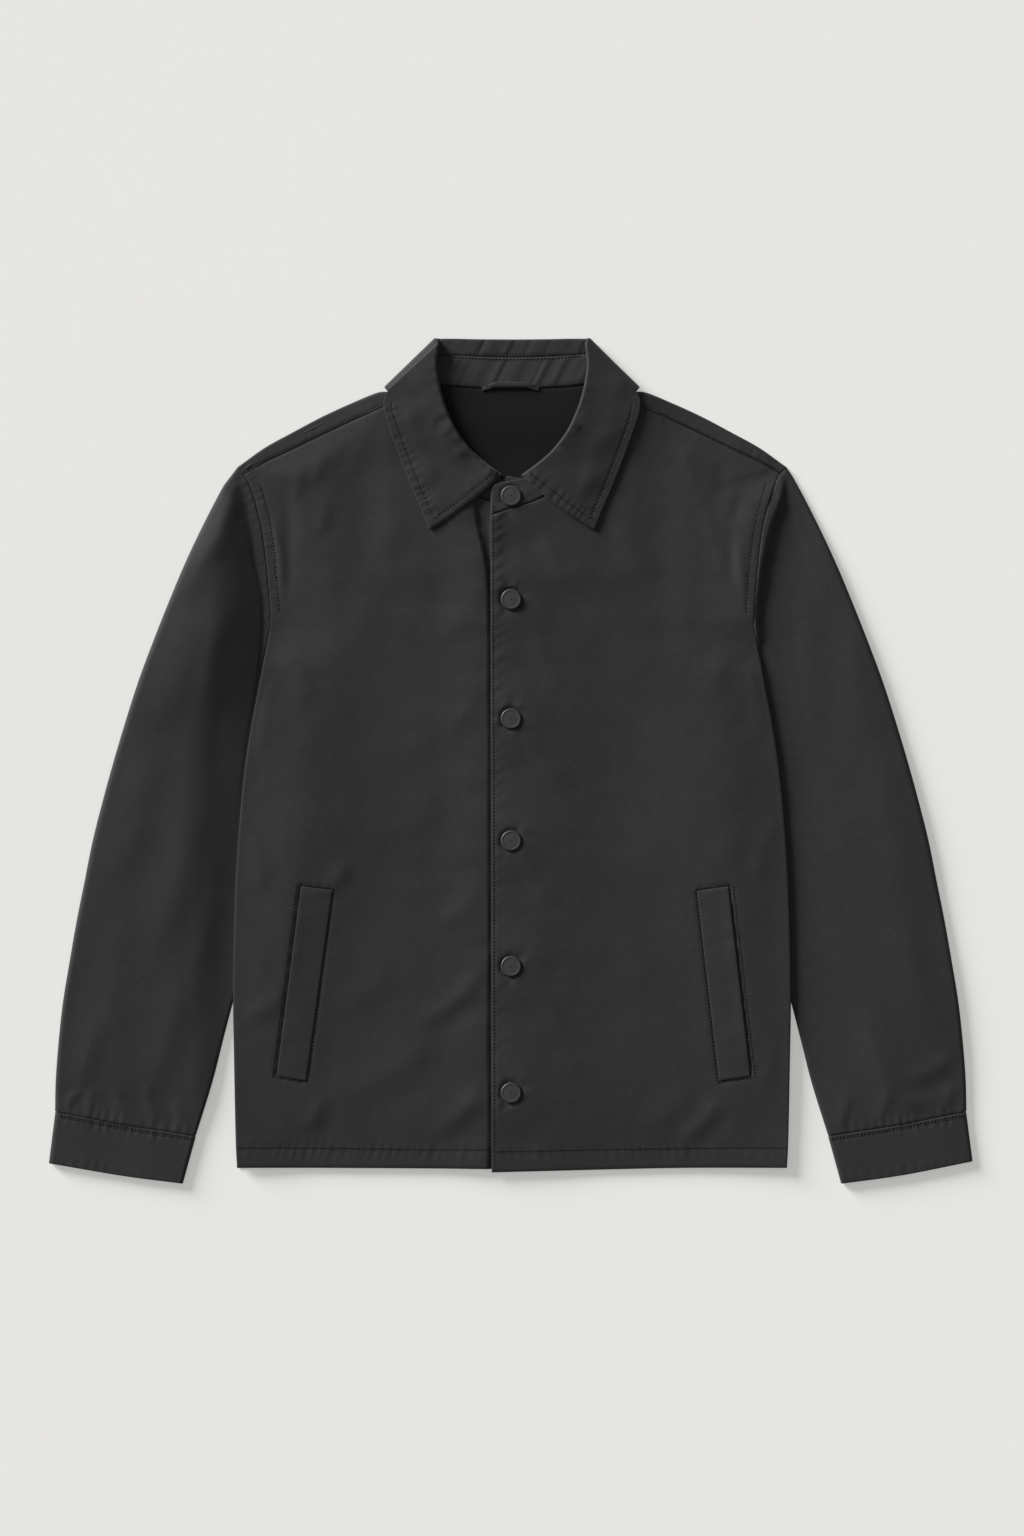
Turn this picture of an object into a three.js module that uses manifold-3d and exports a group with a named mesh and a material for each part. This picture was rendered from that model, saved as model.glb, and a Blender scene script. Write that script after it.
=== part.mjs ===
// A reversible snap-front shirt jacket, buttoned up and laid flat on its back, seen from above.
// Millimetres. +X is the viewer's right (the wearer's left), +Y points to the collar, +Z is up.
// The origin is the middle of the space the jacket takes up, on the surface that it lies on.
// Every cloth piece is a closed wall. Layers lie on each other a small gap apart, from the floor up:
// fall of the collar behind the neck, back, reverse-side cloth of the back, fronts, collar points.
// The sleeves lie beside the body, with their inner edges tucked under its sides.
import * as THREE from "three";
import { mergeVertices } from "three/addons/utils/BufferGeometryUtils.js";
import Module from "manifold-3d";

const wasm = await Module();
wasm.setup();

// Cloth and layers
const CLOTH = 1.6; // shell cloth with its reverse-side cloth
const REVERSE_CLOTH = 1.2; // the reverse-side cloth alone, where it shows in the neck
const BAND = 2; // collar stand and cuffs, which are folded double
const GAP = 0.4; // between two layers
const SEAM_GAP = 0.35; // between the cut edges of two pieces that are sewn together
const SLEEVE_HEIGHT = 2 * CLOTH + GAP; // a sleeve pressed flat
const POINT_LOFT = 0.6; // air under the collar points
const REVERSE_EDGE = 1.2; // how far the stand rides over the reverse-side cloth at the neck seam

// How gently the layers lift each other. Each lift starts at a line and is full after its run.
const COLLAR_LIFT = { fromY: 262, run: 52, outX: 118, fade: 42 }; // the back over the fall behind the neck
const SLEEVE_LIFT = { tuck: 42, run: 40, fromY: 121, fade: 44 }; // the body's sides over the sleeves
const REVERSE_LIFT = { fromY: 138, run: 38, outX: 106, fade: 36 }; // the fronts over the reverse-side cloth
const PLACKET_LIFT = { clear: 2, run: 20 }; // the over front over the under front

// Air inside the laid-out jacket, which keeps the cloth from lying dead flat
const FRONT_AIR = { pressed: 0.4, open: 1.9, edge: 1, run: 30 };
const HEM_AIR = { share: 0.3, run: 60 }; // the hem is pressed flatter
const POINT_PRESS = { outX: 140, fade: 24, fromY: 180, run: 22 }; // where the collar points press the fronts
const SHOULDER_RIDGE = { height: 1.9, inset: 30, width: 20, fromX: 118, run: 20 };
const SLEEVE_AIR = { height: 3, clear: 2, run: 34 };
const CUFF_AIR = { share: 0.3, fromY: -350, run: 50, cuff: 0.8 }; // sleeves lie flatter at the cuff

// Widths and heights of the laid-out jacket
const CUFF_X = 415; // outermost corner of a cuff
const LOW_Y = -380.7; // lowest corner of a cuff
const HIGH_Y = 380.7; // top fold of the collar
const PLACKET_REACH = 19; // how far each front passes the centre line under or over the other
const PLACKET_INNER = 36; // from here out, fronts and back share the same columns
const SHARED_TOP_Y = 205; // up to here, fronts and back share the same rows
const HEM_DROP = 4; // how much lower the over front's edge hangs than the sides
const HEM_SAG = { up: 60, out: 150 }; // how far up and out the lower hanging fades
const SIDE_END_X = 248; // side of the body at the hem
const SHOULDER_INSET = 3; // the back ends this far inside the shoulder fold, where its strip takes over
const SHOULDER_START = { x: 86, y: 341.2 }; // corner of the back between neck and shoulder
const BACK_CORNER = { x: 245.6, y: 262.2 }; // corner of the back between shoulder and armhole

// Half outlines, given for one side: x away from the centre line, y along it
const SIDE_EDGE = [
  { x: 247.5, y: -366.3 },
  { x: 248.5, y: -348 },
  { x: 250.2, y: -267 },
  { x: 251, y: -215 },
  { x: 250.2, y: -160 },
  { x: 248, y: -98 },
  { x: 245, y: -55 },
  { x: 240.5, y: -8 },
  { x: 234.3, y: 33 },
  { x: 225.5, y: 79 },
  { x: 218, y: 121 },
];
const ARMHOLE = [
  { x: 218, y: 121 },
  { x: 217.9, y: 135 },
  { x: 220.1, y: 163.8 },
  { x: 222.9, y: 191.3 },
  { x: 225.7, y: 210.6 },
  { x: 229.9, y: 228.5 },
  { x: 235.4, y: 246.4 },
  { x: 240.8, y: 257.5 },
  { x: 247.8, y: 264.3 },
];
const SHOULDER_FOLD = [
  { x: 95, y: 338 },
  { x: 104, y: 334.6 },
  { x: 112, y: 332.6 },
  { x: 119, y: 332.2 },
  { x: 143, y: 323 },
  { x: 170.6, y: 310.5 },
  { x: 198, y: 296 },
  { x: 222.9, y: 282.2 },
  { x: 247.5, y: 264.6 },
];
const SHOULDER_SEAM = [
  { x: 95.5, y: 327.6 },
  { x: 116.8, y: 318 },
  { x: 143, y: 306.4 },
  { x: 170.6, y: 293.6 },
  { x: 198, y: 280.2 },
  { x: 218.8, y: 270.5 },
  { x: 241.2, y: 258.4 },
];
const SLEEVE_INNER = [
  { x: 218.5, y: 121 },
  { x: 222.5, y: 101 },
  { x: 226.4, y: 79 },
  { x: 226.5, y: 62 },
  { x: 221, y: 30 },
  { x: 213, y: -5 },
  { x: 210, y: -40 },
  { x: 214, y: -80 },
  { x: 224, y: -125 },
  { x: 236.5, y: -170 },
  { x: 250, y: -213 },
  { x: 260, y: -251 },
  { x: 269, y: -287 },
  { x: 280, y: -323 },
  { x: 284.7, y: -337.6 },
];
const SLEEVE_OUTER = [
  { x: 248.4, y: 264.6 },
  { x: 255.6, y: 253 },
  { x: 274.5, y: 217 },
  { x: 306.9, y: 145 },
  { x: 334.8, y: 73 },
  { x: 357.3, y: 1 },
  { x: 376.2, y: -71 },
  { x: 390.6, y: -143 },
  { x: 402.8, y: -215 },
  { x: 409.5, y: -287 },
  { x: 410, y: -314 },
];
const CUFF_TOP = [
  { x: 284.7, y: -338 },
  { x: 345, y: -328.5 },
  { x: 409.2, y: -316 },
];
const CUFF_BOTTOM = [
  { x: 296.5, y: LOW_Y },
  { x: 350, y: -373.3 },
  { x: CUFF_X, y: -360.5 },
];

// Collar, one row for each section from the front end to the middle of the back.
// neck is the seam to the body and seam the one between stand and fall.
// fold is where the fall turns over, and edge is its outer edge.
const COLLAR_FRONT = [
  { neck: [14, 231.8], seam: [10.5, 255], fold: [8, 257.2], edge: [74, 207.5] },
  { neck: [26, 236.6], seam: [22.6, 262.8], fold: [20, 265.8], edge: [80.5, 224] },
  { neck: [40, 245.2], seam: [36.6, 271.8], fold: [32.4, 276], edge: [87.5, 240] },
  { neck: [52, 254.8], seam: [46.7, 280.5], fold: [41, 285.5], edge: [95, 258.5] },
  { neck: [64, 266.8], seam: [56.3, 291], fold: [49, 296.5], edge: [102, 276.5] },
  { neck: [78, 288], seam: [67.8, 309.6], fold: [57.5, 314], edge: [108.5, 294.5] },
  { neck: [85, 304], seam: [73.2, 323.8], fold: [62, 327], edge: [113.4, 309] },
  { neck: [89, 320], seam: [76.6, 339.8], fold: [65.5, 342], edge: [115.4, 318.5] },
  { neck: [89, 333], seam: [77.5, 354], fold: [67.5, 359], edge: [115, 326] },
];
// At the side of the neck the flattened collar turns round from the front to the back.
const COLLAR_TURN = { neck: [84, 345], seam: [73, 367.5], fold: [65.8, 375.4], edge: [111.6, 332.8] };
const TURN_FOLD_END = [64.6, 378.4]; // where the fold has got to at the end of the turn
const COLLAR_BACK = [
  { neck: [74, 341], seam: [64, 366.2], fold: [61, HIGH_Y], edge: [95, 329] },
  { neck: [58, 337.6], seam: [54, 365.6], fold: [52, 380.6], edge: [76, 324] },
  { neck: [38, 336], seam: [36, 365.3], fold: [35, 380.2], edge: [50, 322.2] },
  { neck: [19, 335.4], seam: [18, 365.2], fold: [17.5, 380], edge: [25, 321.3] },
  { neck: [0, 335.2], seam: [0, 365.2], fold: [0, 379.9], edge: [0, 321] },
];
// The buttoned ends of the stand pass the centre line; here seam is their free, rounded top edge.
const STAND_END = [
  { neck: [-19.2, 221.4], seam: [-19.2, 240] },
  { neck: [-17.4, 221.9], seam: [-17.2, 246.6] },
  { neck: [-13, 223.3], seam: [-12.5, 250] },
  { neck: [-4, 226.4], seam: [-3, 251.8] },
  { neck: [5, 229.1], seam: [4, 253.4] },
];
const STAND_CLEAR = 0.95; // how far the stand stops short of the seam to the fall
const UNDER_END_LIFT = 3.4; // how much further the under end of the stand shows above the over end
const POINT_BULGE = 2.6; // how far the front edge of a collar point bows out

// Soft folds raised on the fronts and sleeves: a line from x0, y0 to x1, y1, its half width and height.
// x is away from the centre line on the side named.
const FRONT_FOLDS = [
  { side: -1, x0: 24, y0: -186, x1: 80, y1: -234, width: 13, height: 1.1 },
  { side: -1, x0: 22, y0: -293, x1: 72, y1: -336, width: 13, height: 1 },
  { side: -1, x0: 74, y0: -250, x1: 160, y1: -300, width: 20, height: 0.9 },
  { side: -1, x0: 198, y0: 200, x1: 205, y1: 120, width: 12, height: 0.8 },
  { side: 1, x0: 203, y0: 195, x1: 211, y1: 150, width: 12, height: 0.8 },
  { side: 1, x0: 40, y0: 200, x1: 120, y1: 120, width: 22, height: 1 },
  { side: 1, x0: 150, y0: -336, x1: 187, y1: -305, width: 14, height: 0.9 },
  { side: 1, x0: 40, y0: -60, x1: 110, y1: -110, width: 24, height: 0.8 },
];
const SLEEVE_FOLDS = [
  { side: -1, x0: 264, y0: 226, x1: 258, y1: 110, width: 18, height: 2.6 },
  { side: 1, x0: 250, y0: 236, x1: 272, y1: 176, width: 12, height: 1 },
  { x0: 268, y0: 195, x1: 300, y1: 60, width: 20, height: 1 },
  { x0: 320, y0: 40, x1: 352, y1: -120, width: 22, height: 1 },
  { x0: 296, y0: -60, x1: 318, y1: -200, width: 18, height: 0.8 },
  { x0: 372, y0: -180, x1: 392, y1: -290, width: 14, height: 0.8 },
  { x0: 300, y0: -250, x1: 330, y1: -318, width: 14, height: 0.8 },
];

const POCKET_WELTS = [
  { name: "welt_right", side: -1, top: [161.6, 189.5], topY: [-116.4, -112.8], bottom: [185.3, 211.8] },
  { name: "welt_left", side: 1, top: [166.4, 194.4], topY: [-117, -112.8], bottom: [186.5, 214.5] },
];
const WELT_BOTTOM_Y = [-287.7, -283.4];

const SNAP_X = -0.9;
const SNAP_YS = [238.5, 145.4, 38.1, -71.6, -184.5, -298.2];
const SNAP = { radius: 9.25, height: 2.6, rim: 0.9, recess: 0.35 };
const LOOP = { x0: -27, x1: 22.5, y: 335.4, arch: 2.4, width: 5.2, tape: 1.2, lift: 1.1, end: 0.25 };

// Grids
const REVERSE_BOTTOM_Y = 178; // the reverse-side cloth is made from this row up
const SHARED_YS = [
  -366.3, -340, -300, -258, -215, -170, -125, -80, -35, 5, 40, 66, 84, 100, 114, 130, 152,
  REVERSE_BOTTOM_Y,
  SHARED_TOP_Y,
];
const UPPER_SHARES = [0.25, 0.48, 0.68, 0.86, 1]; // rows from the shared top row to the neck and shoulder
const COLUMN_SHARES = [0, 0.12, 0.24, 0.36, 0.48, 0.59, 0.69, 0.77, 0.84, 0.9, 0.95, 1];
const NECK_COLUMN = 3; // the column that runs into the corner between neck and shoulder
const FRONT_COLUMNS = { underEdge: -PLACKET_REACH + 1, overEdge: -PLACKET_REACH - 0.2, inner: [-7, 7, 21] };
const BACK_COLUMNS = [0, 18];
const FRONT_NECK_XS = [40, 60, 78]; // where the columns before NECK_COLUMN meet the neck seam
const BACK_NECK_XS = [38, 57, 74];
const BOW_POWER = 6; // keeps the armhole's curve to the outermost columns
const SLEEVE_RINGS = 20;
const RING_CROWDING = 1.15; // above 1 the rings crowd towards the armhole
const SLEEVE_ACROSS = [0.07, 0.15, 0.24, 0.36, 0.5, 0.65, 0.8, 0.92];

const CHARCOAL = new THREE.Color("#303133");
const REVERSE_BLACK = new THREE.Color("#1c1c1e");
const SNAP_GREY = new THREE.Color("#3f4041");

// Rises smoothly from 0 at t = 0 to 1 at t = 1.
function smooth(t) {
  const c = Math.min(1, Math.max(0, t));
  return c * c * (3 - 2 * c);
}

function lerp(a, b, t) {
  return a + (b - a) * t;
}

// A smooth curve through rows with x and y.
function curveThrough(rows) {
  const points = rows.map(({ x, y }) => new THREE.Vector3(x, y, 0));
  return new THREE.CatmullRomCurve3(points, false, "centripetal");
}

// The x of an outline at a given y, for an outline whose y only rises or only falls.
function outlineX(rows) {
  const points = curveThrough(rows).getPoints(120);
  points.sort((a, b) => a.y - b.y);
  return (y) => {
    const next = points.findIndex((p) => p.y >= y);
    if (next < 0) return points[points.length - 1].x;
    if (next === 0) return points[0].x;
    const [a, b] = [points[next - 1], points[next]];
    return lerp(a.x, b.x, (y - a.y) / (b.y - a.y));
  };
}

const sideX = outlineX([...SIDE_EDGE, ...ARMHOLE.slice(1)]);
const sleeveInnerX = outlineX(SLEEVE_INNER);
// The same for a line whose x rises: its y at a given x, by looking the line up with x and y exchanged.
const shoulderY = outlineX(SHOULDER_FOLD.map(({ x, y }) => ({ x: y, y: x })));

// Height that folds add at a point: each one is a soft ridge along a line, fading at both ends.
function foldHeight(folds, x, y) {
  let sum = 0;
  for (const { x0, y0, x1, y1, width, height } of folds) {
    const along = new THREE.Vector2(x1 - x0, y1 - y0);
    const length = along.length();
    along.divideScalar(length);
    const s = (x - x0) * along.x + (y - y0) * along.y;
    const off = (x - x0) * along.y - (y - y0) * along.x;
    const fade = smooth((s + width) / (2 * width)) * smooth((length + width - s) / (2 * width));
    sum += height * fade * Math.exp(-(off * off) / (width * width));
  }
  return sum;
}

// How far the back is lifted by the fall of the collar that lies under its top edge.
function collarRise(x, y) {
  const { fromY, run, outX, fade } = COLLAR_LIFT;
  return (CLOTH + 2 * GAP) * smooth((y - fromY) / run) * (1 - smooth((Math.abs(x) - outX) / fade));
}

// How far the sides of the body are lifted by the edges of the sleeves under them.
function sleeveRise(x, y) {
  const { tuck, run, fromY, fade } = SLEEVE_LIFT;
  const across = smooth((Math.abs(x) - sleeveInnerX(y) + tuck) / run);
  return (SLEEVE_HEIGHT + GAP) * across * smooth((fromY - y) / fade);
}

function backBottom(x, y) {
  return collarRise(x, y) + sleeveRise(x, y);
}

// How far the fronts are lifted by the reverse-side cloth in the neck.
function reverseRise(x, y) {
  const { fromY, run, outX, fade } = REVERSE_LIFT;
  return (REVERSE_CLOTH + GAP) * smooth((y - fromY) / run) * (1 - smooth((Math.abs(x) - outX) / fade));
}

// How far the over pieces of the front are lifted by the under ones at the centre. x is on their own side.
function placketRise(side, x, layer) {
  const { clear, run } = PLACKET_LIFT;
  return side > 0 ? layer * (1 - smooth((x - PLACKET_REACH - clear) / run)) : 0;
}

// Air under a front: none at its sides and shoulder, little at the hem and under the collar points, and
// most in the open cloth and in a ridge inside the shoulder.
function frontAir(x, y) {
  const toShoulder = shoulderY(x) - y;
  const inward = Math.min(sideX(y) - x, toShoulder);
  const hem = HEM_AIR.share + (1 - HEM_AIR.share) * smooth((y - SHARED_YS[0]) / HEM_AIR.run);
  const underPoint =
    smooth((POINT_PRESS.outX - x) / POINT_PRESS.fade) * smooth((y - POINT_PRESS.fromY) / POINT_PRESS.run);
  const { height, inset, width, fromX, run } = SHOULDER_RIDGE;
  const ridge = height * Math.exp(-(((toShoulder - inset) / width) ** 2)) * smooth((x - fromX) / run);
  const full = FRONT_AIR.pressed + FRONT_AIR.open * (1 - underPoint) + ridge;
  return full * hem * smooth((inward - FRONT_AIR.edge) / FRONT_AIR.run);
}

// Underside of a front. x is away from the centre line on the front's own side.
function frontBottom(side, x, y) {
  const inward = Math.min(sideX(y) - x, shoulderY(x) - y);
  const ownFolds = FRONT_FOLDS.filter((fold) => fold.side === side);
  const underFolds = FRONT_FOLDS.filter((fold) => fold.side < 0);
  const underHeight = foldHeight(underFolds, -x, y);
  const layers = backBottom(x, y) + CLOTH + GAP + reverseRise(x, y);
  const lifted = layers + placketRise(side, x, CLOTH + GAP + underHeight);
  const calm = smooth((inward - 2 * FRONT_AIR.edge) / PLACKET_LIFT.run);
  return lifted + frontAir(x, y) + foldHeight(ownFolds, x, y) * calm;
}

// Top of a sleeve: pressed flat beside and under the body, fuller away from it.
function sleeveTop(side, x, y) {
  const outward = x - (y < SHARED_YS[0] ? SIDE_END_X : sideX(y));
  const full = smooth((outward - SLEEVE_AIR.clear) / SLEEVE_AIR.run);
  const end = CUFF_AIR.share + (1 - CUFF_AIR.share) * smooth((y - CUFF_AIR.fromY) / CUFF_AIR.run);
  const folds = SLEEVE_FOLDS.filter((fold) => fold.side === undefined || fold.side === side);
  return SLEEVE_HEIGHT + full * (SLEEVE_AIR.height * end + foldHeight(folds, x, y));
}

// Cuts a cell of four corners into two triangles along its higher diagonal, so that walls which lie
// on each other with the same columns and rows are cut alike, also where one is the mirror of the other.
function cutCell(points, [a, b, c, d]) {
  const alongFirst = points[a].z + points[c].z >= points[b].z + points[d].z - 1e-4;
  return alongFirst ? [[a, b, c], [a, c, d]] : [[a, b, d], [b, c, d]];
}

// Joins two grids of points, the upper and the lower face of a wall, into one closed mesh.
function closedWall(upper, lower) {
  const rows = upper.length;
  const columns = upper[0].length;
  const points = [...upper.flat(), ...lower.flat()];
  const up = (i, j) => i * columns + j;
  const under = rows * columns;
  const down = (i, j) => under + up(i, j);
  const triangles = [];
  const quad = (a, b, c, d) => triangles.push(a, b, c, a, c, d);
  for (let i = 0; i + 1 < rows; i++) {
    for (let j = 0; j + 1 < columns; j++) {
      const cell = [up(i, j), up(i, j + 1), up(i + 1, j + 1), up(i + 1, j)];
      for (const [a, b, c] of cutCell(points, cell)) {
        triangles.push(a, b, c, a + under, c + under, b + under);
      }
    }
    quad(up(i, 0), up(i + 1, 0), down(i + 1, 0), down(i, 0));
    quad(up(i, columns - 1), down(i, columns - 1), down(i + 1, columns - 1), up(i + 1, columns - 1));
  }
  for (let j = 0; j + 1 < columns; j++) {
    quad(up(0, j), down(0, j), down(0, j + 1), up(0, j + 1));
    quad(up(rows - 1, j), up(rows - 1, j + 1), down(rows - 1, j + 1), down(rows - 1, j));
  }
  return facingOut(points, triangles);
}

// Joins the outer and inner rings of a tube's wall into one closed mesh, open along the tube.
function closedTube(outer, inner) {
  const rings = outer.length;
  const count = outer[0].length;
  const points = [...outer.flat(), ...inner.flat()];
  const out = (i, k) => i * count + (k % count);
  const into = (i, k) => rings * count + out(i, k);
  const triangles = [];
  const quad = (a, b, c, d) => triangles.push(a, b, c, a, c, d);
  for (let k = 0; k < count; k++) {
    for (let i = 0; i + 1 < rings; i++) {
      quad(out(i, k), out(i, k + 1), out(i + 1, k + 1), out(i + 1, k));
      quad(into(i, k), into(i + 1, k), into(i + 1, k + 1), into(i, k + 1));
    }
    quad(out(0, k), into(0, k), into(0, k + 1), out(0, k + 1));
    const last = rings - 1;
    quad(out(last, k), out(last, k + 1), into(last, k + 1), into(last, k));
  }
  return facingOut(points, triangles);
}

// A geometry from points and triangles, turned round where its faces point inwards.
function facingOut(points, triangles) {
  let volume = 0;
  const normal = new THREE.Vector3();
  for (let t = 0; t < triangles.length; t += 3) {
    const [a, b, c] = triangles.slice(t, t + 3).map((index) => points[index]);
    volume += a.dot(normal.crossVectors(b, c));
  }
  if (volume < 0) triangles.reverse();
  const geometry = new THREE.BufferGeometry().setFromPoints(points);
  geometry.setIndex(triangles);
  return geometry;
}

// A wall of even thickness round a middle surface, moved out along the surface's normals.
function wallRound(middle, thickness) {
  const rows = middle.length;
  const columns = middle[0].length;
  const at = (i, j) => middle[Math.min(rows - 1, Math.max(0, i))][Math.min(columns - 1, Math.max(0, j))];
  const moved = (i, j, distance) => {
    const along = at(i + 1, j).clone().sub(at(i - 1, j));
    const across = at(i, j + 1).clone().sub(at(i, j - 1));
    const normal = along.cross(across).normalize();
    return middle[i][j].clone().addScaledVector(normal, distance);
  };
  const face = (distance) => middle.map((row, i) => row.map((_, j) => moved(i, j, distance)));
  return closedWall(face(thickness / 2), face(-thickness / 2));
}

// A wall that stands straight up from a lower face.
function wallOn(lower, thickness) {
  const upper = lower.map((row) => row.map((p) => new THREE.Vector3(p.x, p.y, p.z + thickness)));
  return closedWall(upper, lower);
}

// Height of a grid's upper face at a point, by the triangle of the wall above it.
function heightOn(lower, thickness, x, y) {
  const triangle = new THREE.Triangle();
  const weights = new THREE.Vector3();
  const point = new THREE.Vector3(x, y, 0);
  const flat = (p) => new THREE.Vector3(p.x, p.y, 0);
  for (let i = 0; i + 1 < lower.length; i++) {
    for (let j = 0; j + 1 < lower[0].length; j++) {
      const cell = [lower[i][j], lower[i][j + 1], lower[i + 1][j + 1], lower[i + 1][j]];
      for (const corners of cutCell(cell, [0, 1, 2, 3])) {
        const [a, b, c] = corners.map((index) => cell[index]);
        triangle.set(flat(a), flat(b), flat(c));
        triangle.getBarycoord(point, weights);
        if (Math.min(weights.x, weights.y, weights.z) >= -1e-6) {
          return a.z * weights.x + b.z * weights.y + c.z * weights.z + thickness;
        }
      }
    }
  }
  throw new Error("no cloth at " + x + ", " + y);
}

// Seam of a front to the collar stand, from the placket edge to the shoulder.
const FRONT_NECK = curveThrough([
  ...STAND_END.map(({ neck }) => ({ x: neck[0], y: neck[1] - SEAM_GAP })),
  ...COLLAR_FRONT.slice(0, 7).map(({ neck }) => ({ x: neck[0] + SEAM_GAP, y: neck[1] - SEAM_GAP })),
  SHOULDER_SEAM[0],
]);
// Seam of the back to the collar stand, from the middle to the side of the neck.
const BACK_NECK = curveThrough([
  ...COLLAR_BACK.map(({ neck }) => ({ x: neck[0], y: neck[1] - SEAM_GAP })).reverse(),
  { x: SHOULDER_START.x, y: SHOULDER_START.y + SEAM_GAP },
]);

// The point on a curve that lies at a given x, where x rises along the curve.
function curveAtX(curve, x) {
  const points = curve.getPoints(160);
  const next = Math.max(1, points.findIndex((p) => p.x >= x));
  const [a, b] = [points[next - 1], points[next]];
  return new THREE.Vector2(x, lerp(a.y, b.y, (x - a.x) / (b.x - a.x)));
}

// Plan points of one half of a body panel: rows from hem to top, columns from the centre out.
// centreXs are the columns inside PLACKET_INNER. topPoint gives the top end of a column.
function halfPanel(centreXs, topPoint, topCorner) {
  const sharedRow = (y) => [
    ...centreXs.map((x) => new THREE.Vector2(x, y)),
    ...COLUMN_SHARES.map((share) => new THREE.Vector2(lerp(PLACKET_INNER, sideX(y), share), y)),
  ];
  const rows = SHARED_YS.map(sharedRow);
  const low = rows[rows.length - 1];
  const last = low.length - 1;
  for (const share of UPPER_SHARES) {
    const row = low.map((p, j) => p.clone().lerp(topPoint(j, centreXs.length), share));
    const y = lerp(SHARED_TOP_Y, topCorner.y, share);
    const bow = (share < 1 ? sideX(y) : topCorner.x) - row[last].x;
    rows.push(row.map((p, j) => new THREE.Vector2(p.x + bow * (j / last) ** BOW_POWER, p.y)));
  }
  return rows;
}

// The top end of a front's column: on the neck seam up to NECK_COLUMN, then on the shoulder seam.
function frontTop(centreXs) {
  const seam = curveThrough(SHOULDER_SEAM);
  const neckXs = [...centreXs, ...FRONT_NECK_XS];
  return (j, centreCount) => {
    const k = j - centreCount;
    if (k < NECK_COLUMN) return curveAtX(FRONT_NECK, neckXs[j]);
    const share = (COLUMN_SHARES[k] - COLUMN_SHARES[NECK_COLUMN]) / (1 - COLUMN_SHARES[NECK_COLUMN]);
    const p = seam.getPointAt(share);
    return new THREE.Vector2(p.x, p.y);
  };
}

// The top end of a back's column: on the neck seam, then just inside the shoulder fold.
function backTop(centreXs) {
  const fold = curveThrough(SHOULDER_FOLD);
  const neckXs = [...centreXs, ...BACK_NECK_XS];
  return (j, centreCount) => {
    const k = j - centreCount;
    if (k < NECK_COLUMN) return curveAtX(BACK_NECK, neckXs[j]);
    const share = (COLUMN_SHARES[k] - COLUMN_SHARES[NECK_COLUMN]) / (1 - COLUMN_SHARES[NECK_COLUMN]);
    if (share === 0) return new THREE.Vector2(SHOULDER_START.x, SHOULDER_START.y);
    const p = fold.getPointAt(share);
    const tangent = fold.getTangentAt(share);
    return new THREE.Vector2(p.x + tangent.y * SHOULDER_INSET, p.y - tangent.x * SHOULDER_INSET);
  };
}

// Lower face of a front, in its place. Side -1 is the under front, side 1 the over front.
function frontGrid(side) {
  const edge = side > 0 ? FRONT_COLUMNS.overEdge : FRONT_COLUMNS.underEdge;
  const centreXs = [edge, ...FRONT_COLUMNS.inner];
  const corner = SHOULDER_SEAM[SHOULDER_SEAM.length - 1];
  const rows = halfPanel(centreXs, frontTop(centreXs), corner);
  const hemDrop = side > 0 ? HEM_DROP : HEM_DROP / 3;
  return rows.map((row) =>
    row.map(({ x, y }) => {
      const nearHem = 1 - smooth((y - SHARED_YS[0]) / HEM_SAG.up);
      const drop = hemDrop * nearHem * (1 - smooth((x + PLACKET_REACH) / HEM_SAG.out));
      return new THREE.Vector3(side * x, y - drop, frontBottom(side, x, y));
    }),
  );
}

// Lower face of the back between the shoulder folds.
function backGrid() {
  const half = halfPanel(BACK_COLUMNS, backTop(BACK_COLUMNS), BACK_CORNER);
  const lift = ({ x, y }) => new THREE.Vector3(x, y, backBottom(x, y));
  return half.map((row) => {
    const right = row.map(lift);
    const left = row.slice(1).map((p) => lift(new THREE.Vector2(-p.x, p.y)));
    return [...left.reverse(), ...right];
  });
}

// The strip of the back that folds forward over a shoulder, down to the seam with the front.
function shoulderStrip(side) {
  const fold = curveThrough(SHOULDER_FOLD);
  const seam = curveThrough(SHOULDER_SEAM);
  const stations = 9;
  const turnSteps = 4;
  const lap = 7; // how far the strip runs under the fold, onto the back
  const middle = [];
  for (let i = 0; i < stations; i++) {
    const share = i / (stations - 1);
    const f = fold.getPointAt(share);
    const s = seam.getPointAt(share);
    const inward = new THREE.Vector2(s.x - f.x, s.y - f.y).normalize();
    s.y += SEAM_GAP;
    const low = backBottom(f.x, f.y - lap) + CLOTH / 2;
    const high = frontBottom(0, s.x, s.y) + CLOTH / 2;
    const radius = (high - frontAir(s.x, s.y) - low) / 2;
    const at = (x, y, z) => new THREE.Vector3(side * x, y, z);
    const section = [at(f.x + inward.x * lap, f.y + inward.y * lap, low)];
    for (let k = 0; k <= turnSteps; k++) {
      const angle = (k / turnSteps - 0.5) * Math.PI;
      const depth = CLOTH / 2 + radius * (1 - Math.cos(angle));
      const z = low + radius * (1 + Math.sin(angle));
      section.push(at(f.x + inward.x * depth, f.y + inward.y * depth, z));
    }
    section.push(at(s.x, s.y, high));
    middle.push(section);
  }
  return wallRound(middle, CLOTH);
}

// A solid for cutting and joining, from a geometry.
function solidOf(geometry) {
  const bare = geometry.clone();
  bare.deleteAttribute("normal");
  bare.deleteAttribute("uv");
  const merged = mergeVertices(bare, 1e-3);
  const vertProperties = new Float32Array(merged.attributes.position.array);
  const triVerts = new Uint32Array(merged.index.array);
  return new wasm.Manifold(new wasm.Mesh({ numProp: 3, vertProperties, triVerts }));
}

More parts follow.
